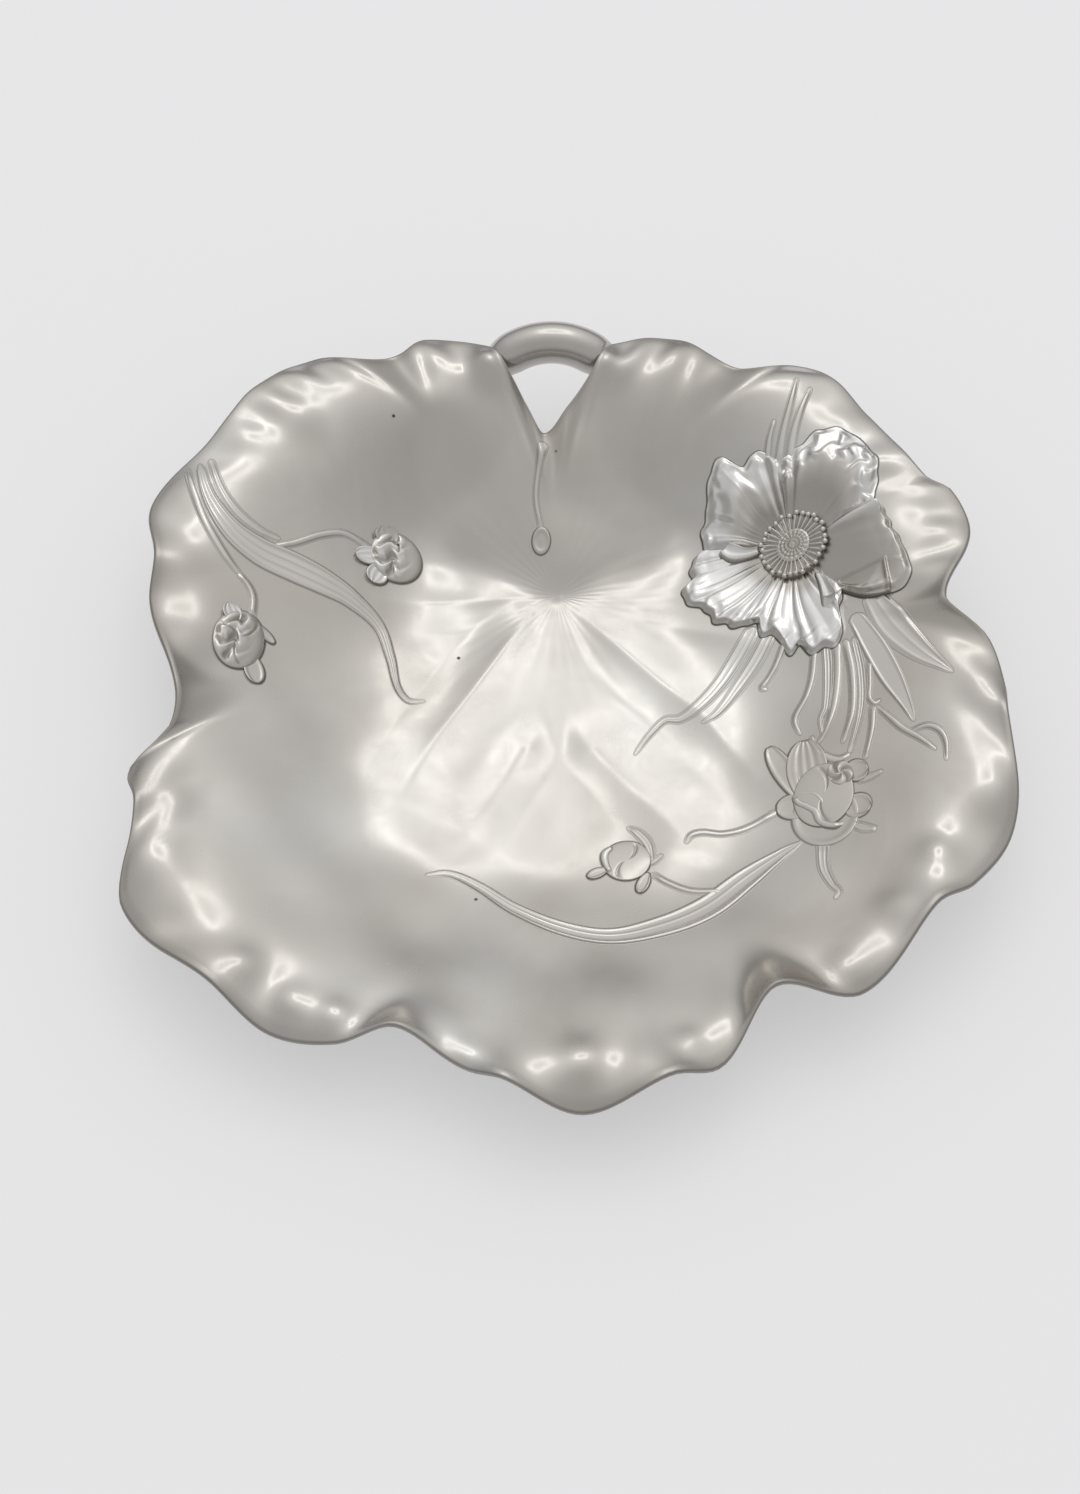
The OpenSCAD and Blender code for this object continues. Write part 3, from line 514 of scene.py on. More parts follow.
def along(points, count):
    """Places spread evenly along the smooth curve through the points, with other columns carried."""
    points = np.asarray(points, float)
    step = np.hypot(np.diff(points[:, 0]), np.diff(points[:, 1]))
    knots = np.concatenate([[0], np.cumsum(step)])
    return cubic(knots, points, np.linspace(0, knots[-1], count))


def ribbon(points, section=blade, line=0.3, rubbed_and_sheen=0.25, rows=72, cols=21):
    """A band along a path of x, y and half width, with round ends; the lift fades towards both ends."""
    x, y, half = along(points, rows).T
    t, s = np.linspace(0, 1, rows)[:, None], np.linspace(-1, 1, cols)
    end = np.minimum(t, 1 - t)
    half = np.maximum(half[:, None], THIN_HALF) * np.sqrt(np.clip(end / ROUND_END, 0.05, 1))
    dx, dy = np.gradient(x)[:, None], np.gradient(y)[:, None]
    size = np.hypot(dx, dy)
    px, py = x[:, None] - dy / size * half * s, y[:, None] + dx / size * half * s
    fading = END_LIFT + (1 - END_LIFT) * smooth(end / FADE)
    lift = section(t, s) * np.minimum(1, half / FULL_HALF) * fading
    # The whole band is painted lighter by one amount, as rubbed metal and a painted sheen.
    return open_patch(px, py, lift, -rubbed_and_sheen, line)


def stem(points):
    """A round stem along a path."""
    return ribbon(points, round_stem)


def placed(centre, turn, x, y):
    """Plan points turned by an angle in degrees and moved to a centre."""
    c, d = np.cos(np.radians(turn)), np.sin(np.radians(turn))
    return centre[0] + x * c - y * d, centre[1] + x * d + y * c


def lobe(base, turn, length, half, high, pleats=0, rubbed_and_sheen=0.0):
    """A small petal whose half width follows a power of a sine from base to tip. It is level, with a
    raised border and tip, and cosine pleats along it."""
    u, s = np.linspace(0.02, 0.99, LOBE_ROWS)[:, None], np.linspace(-1, 1, LOBE_COLS)
    wide = half * np.sin(np.pi * u**1.2) ** LOBE_BLUNT * s
    lift = high + BORDER_RISE * (bell(np.abs(s), 0.84, 0.2) + u**6)
    if pleats:
        lift = lift - PLEAT_DEPTH * np.cos(np.pi * pleats * s)
    # The whole lobe is painted lighter by one amount, as rubbed metal and a painted sheen.
    return open_patch(*placed(base, turn, length * u + 0 * s, wide), lift, -rubbed_and_sheen, LOBE_LINE)


def dome(centre, half_x, half_y, turn, rise, dark=0.0, rubbed_and_sheen=0.0, line=0.8, rows=30, cols=64):
    """Rings out to an ellipse; rise(u, angle) gives the lift; low places are dark with tarnish, high
    ones lighter, rubbed and painted with sheen.
    """
    u = np.linspace(0.03, 1, rows)[:, None]
    a = np.linspace(0, 2 * np.pi, cols, endpoint=False)
    ex, ey = half_x * u * np.cos(a), half_y * u * np.sin(a)
    lift = np.maximum(rise(u, a), 0.2)
    level = lift.mean(axis=1, keepdims=True)
    # Low places are painted darker as tarnish, high places lighter as rubbed metal and a painted sheen.
    tone = dark * smooth((level - lift) * 3) - rubbed_and_sheen * smooth((lift - level) * 3)
    return round_patch(*placed(centre, turn, ex, ey), lift, tone, line)


print("points on a lobe:", LOBE_ROWS * LOBE_COLS)

# %% [markdown]
# ## The poppy's petals
# The poppy alone stands high. Its left petal is cupped and rolls over at its lower side, the back one is
# hollow with a crumpled crest, the right one is a spoon whose lower side is folded over, and the front
# one is a wide pleated skirt with a nibbled edge. Folds are ridges and grooves that run out from the
# centre, so each is a bell in the angle v, and a crest is a step in the distance u from the eye.

# %% Poppy outlines and folds
POPPY, PETAL_START = (87.5, 65.5), 8.5
LEFT_EDGE = [  # bearing in degrees, reach
    [98, 34], [104, 37], [111, 40], [117, 37], [123, 46], [131, 44], [144, 38], [152, 36], [167, 32],
]
BACK_EDGE = [
    [18, 29], [28, 35], [45, 42], [57, 45], [66, 45], [76, 43], [83, 37], [92, 34], [98, 33],
]
RIGHT_EDGE = [
    [-52, 26], [-46, 36], [-34, 45], [-24, 44], [-8, 37], [3, 34], [12, 33], [19, 30], [23, 22],
]
FRONT_EDGE = [
    [167, 34], [176, 37], [183, 36], [191, 41], [200, 40], [206, 37], [216, 37], [226, 35], [236, 32],
    [243, 29], [250, 34], [256, 33], [263, 38], [267, 41], [272, 38], [277, 44], [283, 42], [288, 45],
    [293, 40], [298, 33], [308, 28],
]
LEFT_FOLDS = [  # place across the petal, height, width
    (0.05, 1.5, 0.04), (0.12, -0.9, 0.03), (0.19, 0.8, 0.04),
    (0.42, 0.2, 0.012), (0.66, 0.2, 0.012), (0.7, -0.2, 0.012),
]
BACK_FOLDS = [(0.95, 1.4, 0.04), (0.88, -0.9, 0.03), (0.81, 0.8, 0.04)]
FLAP = ((18.5, -16.5), (31.5, -13.5), (32.5, -23.5))
FRONT_PLEATS = [
    0.05, 0.11, 0.19, 0.24, 0.31, 0.37, 0.42, 0.54, 0.6, 0.66, 0.73, 0.78, 0.84, 0.9, 0.95,
]
ROLL_AT, ROLL_W, CRUMPLE, BACK_CRUMPLE = 0.9, 0.06, 9.0, 8.5


def crumple(x, y, size):
    """Waves that bend one another, as in crushed foil: three sines, each shifted by the one before."""
    p, q = 2 * np.pi * x / size, 2 * np.pi * y / size
    first = np.sin(p + 0.9 * np.sin(0.6 * q))
    second = np.sin(0.9 * q + 1.4 * first)
    return (first + second + np.sin(0.8 * p - 1.1 * q + 1.6 * second)) / 3


def petal(outline, nibble, rise, tone, rows=64, cols=140):
    """A fan from the eye to a nibbled outline of bearing and reach, with its lift and its painted shade
    and highlights.
    """
    outline = np.asarray(outline, float)
    turn = np.linspace(outline[0, 0], outline[-1, 0], cols)
    far = cubic(outline[:, 0], outline[:, 1:], turn)[:, 0]
    far = far + nibble * (np.sin(turn / 2.6 + 1.8 * np.sin(turn / 9)) + 0.6 * np.sin(turn / 1.5))
    u, v = np.linspace(0, 1, rows)[:, None], np.linspace(0, 1, cols)
    r = PETAL_START + (far - PETAL_START) * u
    x, y = r * np.cos(np.radians(turn)), r * np.sin(np.radians(turn))
    lift = np.maximum(rise(u, v, x, y), 0.3)
    return open_patch(POPPY[0] + x, POPPY[1] + y, lift, tone(u, v), 1.0)


def edge_fall(u):
    """1 over most of a petal, falling to a third at its edge, so that the edge looks thin."""
    return 1 - 0.68 * smooth((u - 0.9) / 0.1)


def painted_petal_shading(dark, painted_highlight, crest, roll=0.0):
    """Painted shade in a petal's throat, a painted highlight beyond its crest and on a roll along one
    side.
    """
    def tone(u, v):
        throat = dark * (1 - smooth((u - crest + 0.25) / 0.25)) - painted_highlight * smooth((u - crest) / 0.2)
        return throat - roll * bell(v, ROLL_AT, ROLL_W) * smooth(u * 2)
    return tone


print("pleats in front:", len(FRONT_PLEATS))


# %% Poppy petals
def left_rise(u, v, x, y):
    """Cupped: it swells towards its lower side, which is rolled, and has folds along its right side."""
    cup = 0.9 + 1.8 * smooth((u - 0.1) / 0.5) * bell(v, 0.62, 0.3)
    belly = 3.6 * bell(u, 0.62, 0.18) * bell(v, 0.52, 0.22)
    edge = 0.8 * smooth((u - 0.72) / 0.2) * crumple(x, y, CRUMPLE)
    roll = 2.8 * bell(v, ROLL_AT, ROLL_W) * smooth(u * 2.2) * (1 - 0.5 * u**4)
    return (cup + belly + u * ridges(v, LEFT_FOLDS) + edge) * edge_fall(u) + roll


def back_rise(u, v, x, y):
    """It climbs from the eye to a crest beyond its middle and falls away behind it in crumpled lumps."""
    full = smooth(v / 0.25) * (0.6 + 0.4 * np.sin(np.pi * v))
    hump = 0.8 + full * (4.6 * smooth((u - 0.08) / 0.52) - 3.9 * smooth((u - 0.6) / 0.36))
    lumps = 1.1 * smooth((u - 0.55) / 0.2) * crumple(x, y, BACK_CRUMPLE)
    streaks = 0.12 * u * np.sin(2 * np.pi * 9 * v + 2 * np.sin(6 * v))
    return (hump + lumps + u * ridges(v, BACK_FOLDS) + streaks) * edge_fall(u)


def right_rise(u, v, x, y):
    """A spoon tilted up to a roll on its top side; inside two straight lines it is folded over."""
    spoon = 0.9 + 2.4 * v * smooth(u * 1.4) + 1.2 * bell(u, 0.9, 0.12)
    roll = 1.8 * bell(v, 0.88, 0.07) * smooth(u * 2.2) - 2.0 * smooth((v - 0.9) / 0.1)
    edge = 0.5 * smooth((u - 0.75) / 0.2) * crumple(x, y, CRUMPLE)
    inside = np.full(x.shape, np.inf)
    for (ax, ay), (bx, by) in zip(FLAP, FLAP[1:]):
        cross = (bx - ax) * (y - ay) - (by - ay) * (x - ax)
        inside = np.minimum(inside, -cross / np.hypot(bx - ax, by - ay))
    flap = 1.5 * smooth(0.5 + inside / 0.8) + 0.9 * bell(inside, 0.5, 0.7) + 0.9 * smooth(inside / 8)
    return (spoon + roll + edge) * edge_fall(u) + flap


def front_rise(u, v, x, y):
    """A pleated skirt: it rises from the eye until it lies almost level, and ends in a ruffled edge."""
    skirt = 0.8 + 3.4 * u**0.9 - 0.7 * smooth((u - 0.75) / 0.25)
    bent = v + 0.012 * np.sin(4 * u + 9 * v)
    for k, at in enumerate(FRONT_PLEATS):
        deep = (0.24 + 0.16 * np.cos(2.4 * k)) * smooth(u * 2.5)
        skirt = skirt - deep * bell(bent, at, 0.01) + 0.6 * deep * bell(bent, at + 0.024, 0.016)
    split = -1.3 * bell(v, 0.475, 0.01 + 0.008 * u) * smooth(u * 1.6)
    waves = 0.5 * np.sin(2 * np.pi * 6.5 * v + 0.7) + 0.6 * crumple(x, y, CRUMPLE)
    ruffle = smooth((u - 0.66) / 0.3) * waves
    return (skirt + split + ruffle) * (1 - 0.75 * smooth((u - 0.95) / 0.05))


def tab_rise(base, slope):
    """A small curled petal: a channel that stands above the petals below it and climbs to its end."""
    return lambda t, s: base + slope * t + 1.1 * s**2


relief("poppy_petal_left", [
    petal(LEFT_EDGE, 0.5, left_rise, painted_petal_shading(0.45, 0.8, 0.5, 0.9)),
])
relief("poppy_petal_back", [
    petal(BACK_EDGE, 0.5, back_rise, painted_petal_shading(0.3, 0.8, 0.6)),
])
relief("poppy_petal_right", [
    petal(RIGHT_EDGE, 0.3, right_rise, painted_petal_shading(0.3, 0.4, 0.88, 0.9), 90),
])
relief("poppy_petal_front", [
    petal(FRONT_EDGE, 0.6, front_rise, painted_petal_shading(0.1, 0.95, 0.2), 80, 300),
    ribbon([[77, 66.5, 0.8], [71, 66, 1.5], [66, 67.5, 2.5], [61.5, 71.5, 1.6]],
           tab_rise(3.6, 2.6), 1.0, 0.8),
    ribbon([[95.5, 54, 0.8], [97.5, 47, 1.2], [99, 40, 2.1], [99.3, 38.5, 1.8]],
           tab_rise(4.0, 4.0), 1.0, 0.8),
])

# %% [markdown]
# ## Stamens and seed head
# The poppy's eye is a disc of fine filaments with a bead at the end of each, round a grainy seed head.
# The filaments are a ripple round a ring. The beads are one small sphere repeated in a circle, all in
# one array, and a little uneven by a rule from the bead's number.

# %% Poppy eye
SEED_R, STAMEN_R, STAMEN_RISE = 6.0, 11.2, 3.4
ANTHERS, ANTHER_R = 30, 1.1
BALL_ROWS, BALL_COLS, BALL_POLE = 8, 12, 0.12


def filaments(u, a):
    """A shallow dish with one ripple for each filament."""
    return STAMEN_RISE - 0.9 * (1 - u) + 0.45 * np.cos(ANTHERS * a) * smooth(u * 2)


def seeds(u, a):
    """A low dome, grainy where two sets of waves cross."""
    grain = 0.3 * np.cos(9 * a + 14 * u) * np.cos(9 * a - 14 * u) * smooth(u * 3) * smooth((1 - u) * 4)
    return STAMEN_RISE - 0.6 + 1.2 * np.sqrt(1 - 0.9 * u**2) + grain


def beads():
    """Small spheres in a ring, as points, faces and a tone that paints each top light and each underside
    dark.
    """
    number = np.arange(ANTHERS)
    turn = 2 * np.pi * (number + 0.2 * np.sin(7.0 * number)) / ANTHERS
    ring = STAMEN_R + 0.45 * np.sin(3.7 * number)
    x, y = POPPY[0] + ring * np.cos(turn), POPPY[1] + ring * np.sin(turn)
    z = dish_z(x, y) + STAMEN_RISE + 0.2
    lat = np.linspace(BALL_POLE, np.pi - BALL_POLE, BALL_ROWS)[:, None]
    lon = np.linspace(0, 2 * np.pi, BALL_COLS, endpoint=False)
    ball = np.stack([np.sin(lat) * np.cos(lon), np.sin(lat) * np.sin(lon), np.cos(lat) + 0 * lon], -1)
    points = np.stack([x, y, z], -1)[:, None, :] + ANTHER_R * ball.reshape(1, -1, 3)
    size = BALL_ROWS * BALL_COLS
    quads = grid_quads(BALL_ROWS, BALL_COLS, wrap=True) + size * number[:, None, None]
    caps = np.arange(BALL_COLS) + size * number[:, None]
    faces = [quads.reshape(-1, 4), caps, caps[:, ::-1] + size - BALL_COLS]
    # Painted highlight on each bead's top, painted shade on its underside.
    tone = np.tile(np.clip(-0.2 - 0.7 * ball[..., 2].ravel(), -0.5, 0.6), ANTHERS)
    return points.reshape(-1, 3), faces, tone


relief("poppy_stamens", [
    dome(POPPY, STAMEN_R, STAMEN_R, 0, filaments, 0.35, 0.4, rows=20, cols=300),
    beads(),
])
relief("poppy_seed_head", [dome(POPPY, SEED_R, SEED_R, 0, seeds, 0.7, 0.3, rows=40, cols=144)])

# %% [markdown]
# ## Stem and leaves of the poppy
# Behind the poppy a few flat stems run up to the rim, and below it long leaves fall away over the floor:
# a split leaf on the left, a bundle of strands in the middle and two broad leaves on the right. They are
# ribbons along paths of a few points, with the leaf's section or the stem's.

# %% Poppy leaves
faint_blade = wired(0.12, [(0.9, 0.26, 0.12), (-0.9, 0.26, 0.12)])

relief("poppy_stem", [
    stem([[79, 97, 1], [80, 106, 0.9], [82, 113, 0.4]]),
    stem([[83, 96, 1.3], [85, 107, 1.2], [88, 118, 1], [91, 129, 0.5]]),
    stem([[87, 96, 1.3], [89, 107, 1.3], [92, 116, 1], [96, 125, 0.5]]),
])
relief("poppy_leaf_left", [
    ribbon([[73, 38, 2.6], [66, 26, 2.9], [60, 17, 2.6], [52, 8, 2.2], [45, 3.5, 1.5],
            [39.5, 3.5, 1.2], [34, -2, 1], [28, -11, 0.35]], rows=110),
    ribbon([[79, 35, 2.3], [73, 24, 2.5], [66, 14, 2.1], [58, 4, 1.2], [53, 1, 0.4]]),
    stem([[84, 31, 1], [80, 21, 0.9], [77, 16, 0.8], [75, 13, 1], [76.5, 12, 0.4]]),
])
relief("poppy_leaf_middle", [
    stem([[94, 26, 1], [92.5, 14, 1], [90, 6, 0.9], [86, -1, 0.9], [85.5, -4, 0.7],
          [87, -9, 0.4]]),
    ribbon([[98, 26, 1.3], [98, 14, 1.4], [96.5, 0, 1.1], [94.5, -5, 0.8], [95, -12, 0.5]]),
    stem([[101.5, 25, 1.2], [101, 12, 1.3], [99, 0, 1.2], [96, -9, 0.8], [93, -14, 0.5]]),
    stem([[104.5, 25, 1], [106, 12, 1.1], [105, -4, 1], [101, -16, 0.6]]),
    ribbon([[107.5, 25, 1.1], [109, 11, 1.2], [108, -4, 1.1], [103, -21, 0.5]]),
    stem([[112, -4, 1], [111, -13, 0.9], [108, -24, 0.5]]),
])
relief("poppy_leaf_right", [
    ribbon([[108, 34, 2.2], [114, 20, 3.6], [119, 6, 3.4], [123, -6, 1.6], [125, -13, 0.4]],
           faint_blade),
    stem([[112, 14, 0.8], [111.5, 5, 0.8], [111, 0, 0.8], [112.5, -2.8, 0.7], [114.5, -2, 0.4]]),
    stem([[113, -4, 0.5], [118, -11, 0.9], [121, -15, 1], [126, -20, 0.9], [131, -26, 0.35]]),
    stem([[123, -17, 0.6], [129, -16, 0.9], [133, -19, 0.9], [134.5, -24, 0.8], [134, -31, 0.35]]),
])
relief("poppy_leaf_outer", [
    ribbon([[114, 41, 3.2], [119, 30, 5.2], [123, 23, 5.2], [130, 13, 3.6], [139, 3, 0.5]]),
])

# %% [markdown]
# ## The half open bloom
# Below the leaves a half open flower lies on its side: a cup of closed petals with a rolled lip, outer
# petals standing away from it, and narrow sepals that curl at their ends. Each form lies a little above
# the one behind it, so that its chased edge draws a line.

# %% Bloom
rolled_lip = round_bar(1.0, 0.65, 0.9)


def rim_ring(level, rise, at, width):
    """A level disc with a raised ring near its edge."""
    return lambda u, a: level + rise * bell(u, at, width) + 0 * a


def cup_rise(u, a):
    """A closed cup: a low dome with the edges of two wrapped petals drawn as grooves from its top."""
    seam = bell(np.sin(a - 1.0 - 0.9 * u), 0, 0.08) * smooth(u * 2.5) * smooth((1 - u) * 5)
    return 0.75 + 0.45 * np.sqrt(1 - 0.9 * u**2) - 0.4 * seam


def knot_rise(u, a):
    """A crumpled heart of small petals."""
    return 1.1 + 0.4 * np.sqrt(1 - 0.9 * u**2) + 0.25 * np.sin(4 * a + 5 * u) * smooth(u * 3)


relief("bloom_petals", [
    dome((93, -44), 11.0, 12.5, 0, rim_ring(0.2, 0.2, 0.92, 0.1), line=0.5),
    lobe((99, -40), -28, 10, 5.0, 0.3),
    lobe((100, -29), 8, 8.5, 4.4, 0.35),
    lobe((91, -39), 175, 14, 5.0, 0.3),
    lobe((86, -37), 112, 27, 3.8, 0.35),
    lobe((88.5, -39), 91, 27, 7.0, 0.5, 5),
])
relief("bloom_core", [
    dome((93, -36), 10.0, 12.6, -8, cup_rise, 0.3, rows=36, cols=96),
    dome((99, -28.5), 4.2, 5.0, 20, knot_rise, 0.6, rows=22, cols=72),
    ribbon([[83, -33, 0.7], [84, -37, 1], [87, -39.5, 1.1], [89.5, -42, 1.2], [91, -46.5, 1.2],
            [95, -49, 1.1], [99, -48.5, 0.7]], rolled_lip),
    ribbon([[84, -34, 0.5], [89, -34.5, 0.7], [92, -38, 0.7], [93, -44, 0.4]], rolled_lip),
    stem([[91, -11, 0.5], [91, -15, 0.9], [94, -19.5, 1.3], [99, -22.5, 1.3], [103, -21, 0.5]]),
])
relief("bloom_sepals", [
    ribbon([[105, -33, 0.7], [109, -32, 1.1], [113, -30.5, 0.4]]),
    ribbon([[101, -49, 0.8], [105, -52, 1.7], [109, -53.5, 0.8]]),
    ribbon([[91.5, -56, 2], [91, -66, 1.7], [93, -73, 1.2], [95, -76.5, 0.8], [93.5, -79, 0.4]]),
])

# %% [markdown]
# ## The front bud and its sweeping leaf
# A round bud hangs on a thin stem between four small sepals. A long leaf sweeps under it along the edge
# of the floor, from a curled tip to the bloom, with a bright round wire along its lower side.

# %% Front bud, sweep and tendril
LUMP_SPAN, LUMP = 9.0, 6.5
sweep_section = wired(0.3, [(-0.82, 0.55, 0.2), (0.9, 0.25, 0.12), (0.2, 0.12, 0.08)])


def bud_rise(high, seams, phase, rough=0.0):
    """A low globe with seams where its wrapped petals meet, crumpled towards its left side."""
    def rise(u, a):
        inner = smooth(u * 2.5) * smooth((1 - u) * 5)
        seam = bell(np.sin(seams * (a - phase - 0.8 * u) / 2), 0, 0.1) * inner
        across, up = u * np.cos(a), u * np.sin(a)
        lumps = crumple(LUMP_SPAN * across, LUMP_SPAN * up, LUMP) * smooth(0.75 - across)
        globe = 0.5 + high * np.sqrt(1 - 0.95 * u**2)
        return globe - 0.4 * seam + rough * lumps * smooth((1 - u) * 4)
    return rise


relief("bud_front", [
    dome((24, -55), 8.4, 8.2, 0, bud_rise(0.7, 2, 0.4), 0.2, cols=84),
    ribbon([[20, -48.5, 0.6], [16.5, -52, 1.3], [17, -57, 1.1], [19, -60.5, 0.5]], rolled_lip),
])
relief("bud_front_sepals", [
    ribbon([[25, -41, 0.5], [28.5, -43.5, 1.5], [32, -49, 1.6], [33, -57, 0.7]]),
    ribbon([[32, -57, 0.5], [34, -55.5, 1], [36.5, -53.5, 0.4]]),
    lobe((31.5, -60.5), 246, 9, 2.1, 0.5),
    lobe((17.5, -58), 204, 8, 1.9, 0.6),
])
relief("bud_front_stem", [stem([[33, -61, 0.9], [38, -65, 1], [46, -69, 1], [57, -70, 0.8]])])
relief("sweep_leaf", [
    ribbon([[-46, -62, 0.8], [-38, -61, 1.1], [-28, -66, 1.6], [-15, -76, 2.2], [1, -84, 2.8],
            [18, -87.5, 3.2], [35, -84, 4.2], [51, -77, 4.8], [65, -66, 4.2], [78, -57, 2],
            [85, -53, 0.7]], sweep_section, rows=150, cols=25),
])
relief("sweep_tendril", [
    stem([[45, -49, 0.6], [47, -46, 1], [51, -45, 1.1], [58, -46, 1], [66, -44.5, 1.1],
          [77, -39, 1]]),
])

# %% [markdown]
# ## The spray on the left
# A long leaf with four wires along it comes in over the left shoulder, crosses the wall and ends in a
# curled point on the floor. Finer blades run beside it, and two buds grow from it on thin stems.

# %% Spray, stems and buds
spray_section = wired(0.3, [
    (0.88, 0.4, 0.13), (-0.88, 0.4, 0.13), (0.32, 0.22, 0.09), (-0.25, 0.22, 0.09),
])

relief("spray_leaf", [
    ribbon([[-133, 91, 1.2], [-128, 76, 2.4], [-120, 65, 4], [-110, 59, 5.2], [-98, 56, 5.6],
            [-87, 53, 5], [-77, 49, 3.6], [-67, 41, 2.2], [-62, 28, 1.6], [-59, 16, 1.1],
            [-55, 11, 0.9], [-49, 11, 0.4]], spray_section, rows=150, cols=31),
    stem([[-138, 90, 0.9], [-134, 78, 1.2], [-129, 66, 1.3], [-122, 55, 1.2], [-116, 48, 0.7]]),
    ribbon([[-129, 93, 0.9], [-124, 80, 1.4], [-118, 72, 1.6], [-110, 67, 1.2], [-103, 65.5, 0.5]]),
])
relief("bud_upper_stem", [
    stem([[-105, 62, 0.8], [-97, 65.5, 1], [-88, 71, 1], [-80, 74, 1], [-71, 72, 1]]),
])
relief("bud_upper", [
    dome((-61, 70), 9.4, 9.8, 0, bud_rise(2.8, 2, 0.9, 0.9), 0.4, 0.8, cols=96),
    lobe((-66, 70), 200, 10, 3.4, 1.4, 3, 0.8),
    lobe((-63, 74), 110, 7, 4.4, 1.9, 3),
    lobe((-66, 66), 250, 9, 3.8, 1.2, 3, 0.6),
])
relief("bud_lower_stem", [stem([[-116.5, 48.5, 0.8], [-112.5, 44, 1], [-111, 40, 1], [-111, 33, 0.9]])])
relief("bud_lower", [
    dome((-115, 22), 8.4, 11.8, -12, bud_rise(2.2, 3, 0.2, 0.8), 0.5, 0.6, cols=96),
    lobe((-110, 30), 320, 9, 1.6, 0.5),
    lobe((-111, 18), 285, 12, 3.4, 0.8),
    lobe((-116, 28), 112, 7.5, 3.2, 1.5, 3, 0.5),
])

# %% [markdown]
# ## The stalk in the notch
# From the point of the notch a thin stalk runs down the back wall and ends in a small drop, a disc with
# a raised ring.

# %% Stalk and drop
relief("notch_stalk", [stem([[-5, 110, 1.8], [-7, 101, 0.9], [-8, 91, 0.8], [-6, 80, 0.7]])])
relief("stalk_drop", [dome((-6, 76), 3.3, 4.6, 0, rim_ring(0.3, 0.3, 0.85, 0.2))])

# %% [markdown]
# ## Pewter
# Polished pewter is a warm light grey mirror that is never quite even: clouds of thin tarnish, hair
# lines left by the cloth, a few pits from the casting and dark recesses. On top of that the pieces carry
# painted shade and painted highlights. Clouds, hair lines and pits are
# used by all three finishes, so each is a shader node group, and a material mixes them in its own way.

# %% Node groups
def add(tree, kind, links=(), **settings):
    """A node with its settings, and its inputs linked from other sockets or set to plain values."""
    node = tree.nodes.new("ShaderNode" + kind)
    for key, value in settings.items():
        setattr(node, key, value)
    for socket, source in links:
        if isinstance(source, bpy.types.NodeSocket):
            tree.links.new(source, node.inputs[socket])
        else:
            node.inputs[socket].default_value = source
    return node


def new_group(name, scale, output):
    """A shader group with an input for its scale and one output: its tree, place, scale and end."""
    tree = bpy.data.node_groups.new(name, "ShaderNodeTree")
    kind = "NodeSocketFloat"
    tree.interface.new_socket("Scale", in_out="INPUT", socket_type=kind).default_value = scale
    tree.interface.new_socket(output, in_out="OUTPUT", socket_type=kind)
    start, end = tree.nodes.new("NodeGroupInput"), tree.nodes.new("NodeGroupOutput")
    place = add(tree, "TexCoord").outputs["Object"]
    return tree, place, start.outputs["Scale"], end.inputs[output]


def maths(tree, operation, *values):
    """What a Math node makes of sockets or plain values."""
    return add(tree, "Math", enumerate(values), operation=operation).outputs["Value"]


def ranged(tree, value, low, high, to_low=0.0, to_high=1.0):
    """A value carried in a straight line from one range to another and held at its ends."""
    ends = ("From Min", low), ("From Max", high), ("To Min", to_low), ("To Max", to_high)
    return add(tree, "MapRange", [("Value", value), *ends]).outputs["Result"]


clouds, place, scale, end = new_group("tarnish_clouds", 14.0, "Mask")
noise = add(clouds, "TexNoise", [("Vector", place), ("Scale", scale), ("Detail", 5.0),
                                 ("Roughness", 0.55), ("Distortion", 0.6)])
clouds.links.new(ranged(clouds, noise.outputs["Fac"], 0.32, 0.68), end)

lines, place, scale, end = new_group("hair_lines", 260.0, "Height")
turned = add(lines, "Mapping", [("Vector", place), ("Rotation", (0.0, 0.0, 0.5)),
                                ("Scale", (1.0, 0.06, 0.4))]).outputs["Vector"]
noise = add(lines, "TexNoise", [("Vector", turned), ("Scale", scale), ("Detail", 4.0),
                                ("Roughness", 0.6)])
lines.links.new(noise.outputs["Fac"], end)

pits, place, scale, end = new_group("casting_pits", 38.0, "Mask")
cells = add(pits, "TexVoronoi", [("Vector", place), ("Scale", scale)])
pick = add(pits, "SeparateColor", [("Color", cells.outputs["Color"])])
chosen = maths(pits, "GREATER_THAN", pick.outputs["Red"], 0.5)
near = ranged(pits, cells.outputs["Distance"], 0.035, 0.015)
pits.links.new(maths(pits, "MULTIPLY", chosen, near), end)
print("node groups:", [g.name for g in bpy.data.node_groups])

# %% [markdown]
# ## The three finishes
# The dish is the most polished, the loop is worn smooth by fingers, and the relief keeps more tarnish
# and more painted shade in its folds. One function makes all three, from a light and a dark tone of the
# metal and its roughness.

# %% Finishes
# Dark tone for deposit and painted shade, light tone for rubbed metal and painted highlights.
DEPOSIT_AND_SHADE, RUBBED_AND_HIGHLIGHT = (0.11, 0.095, 0.078, 1.0), (0.93, 0.925, 0.915, 1.0)
FINE_SCALE, RECESS_ROUGH, HAIR_DEPTH = 70.0, 0.35, 0.0002


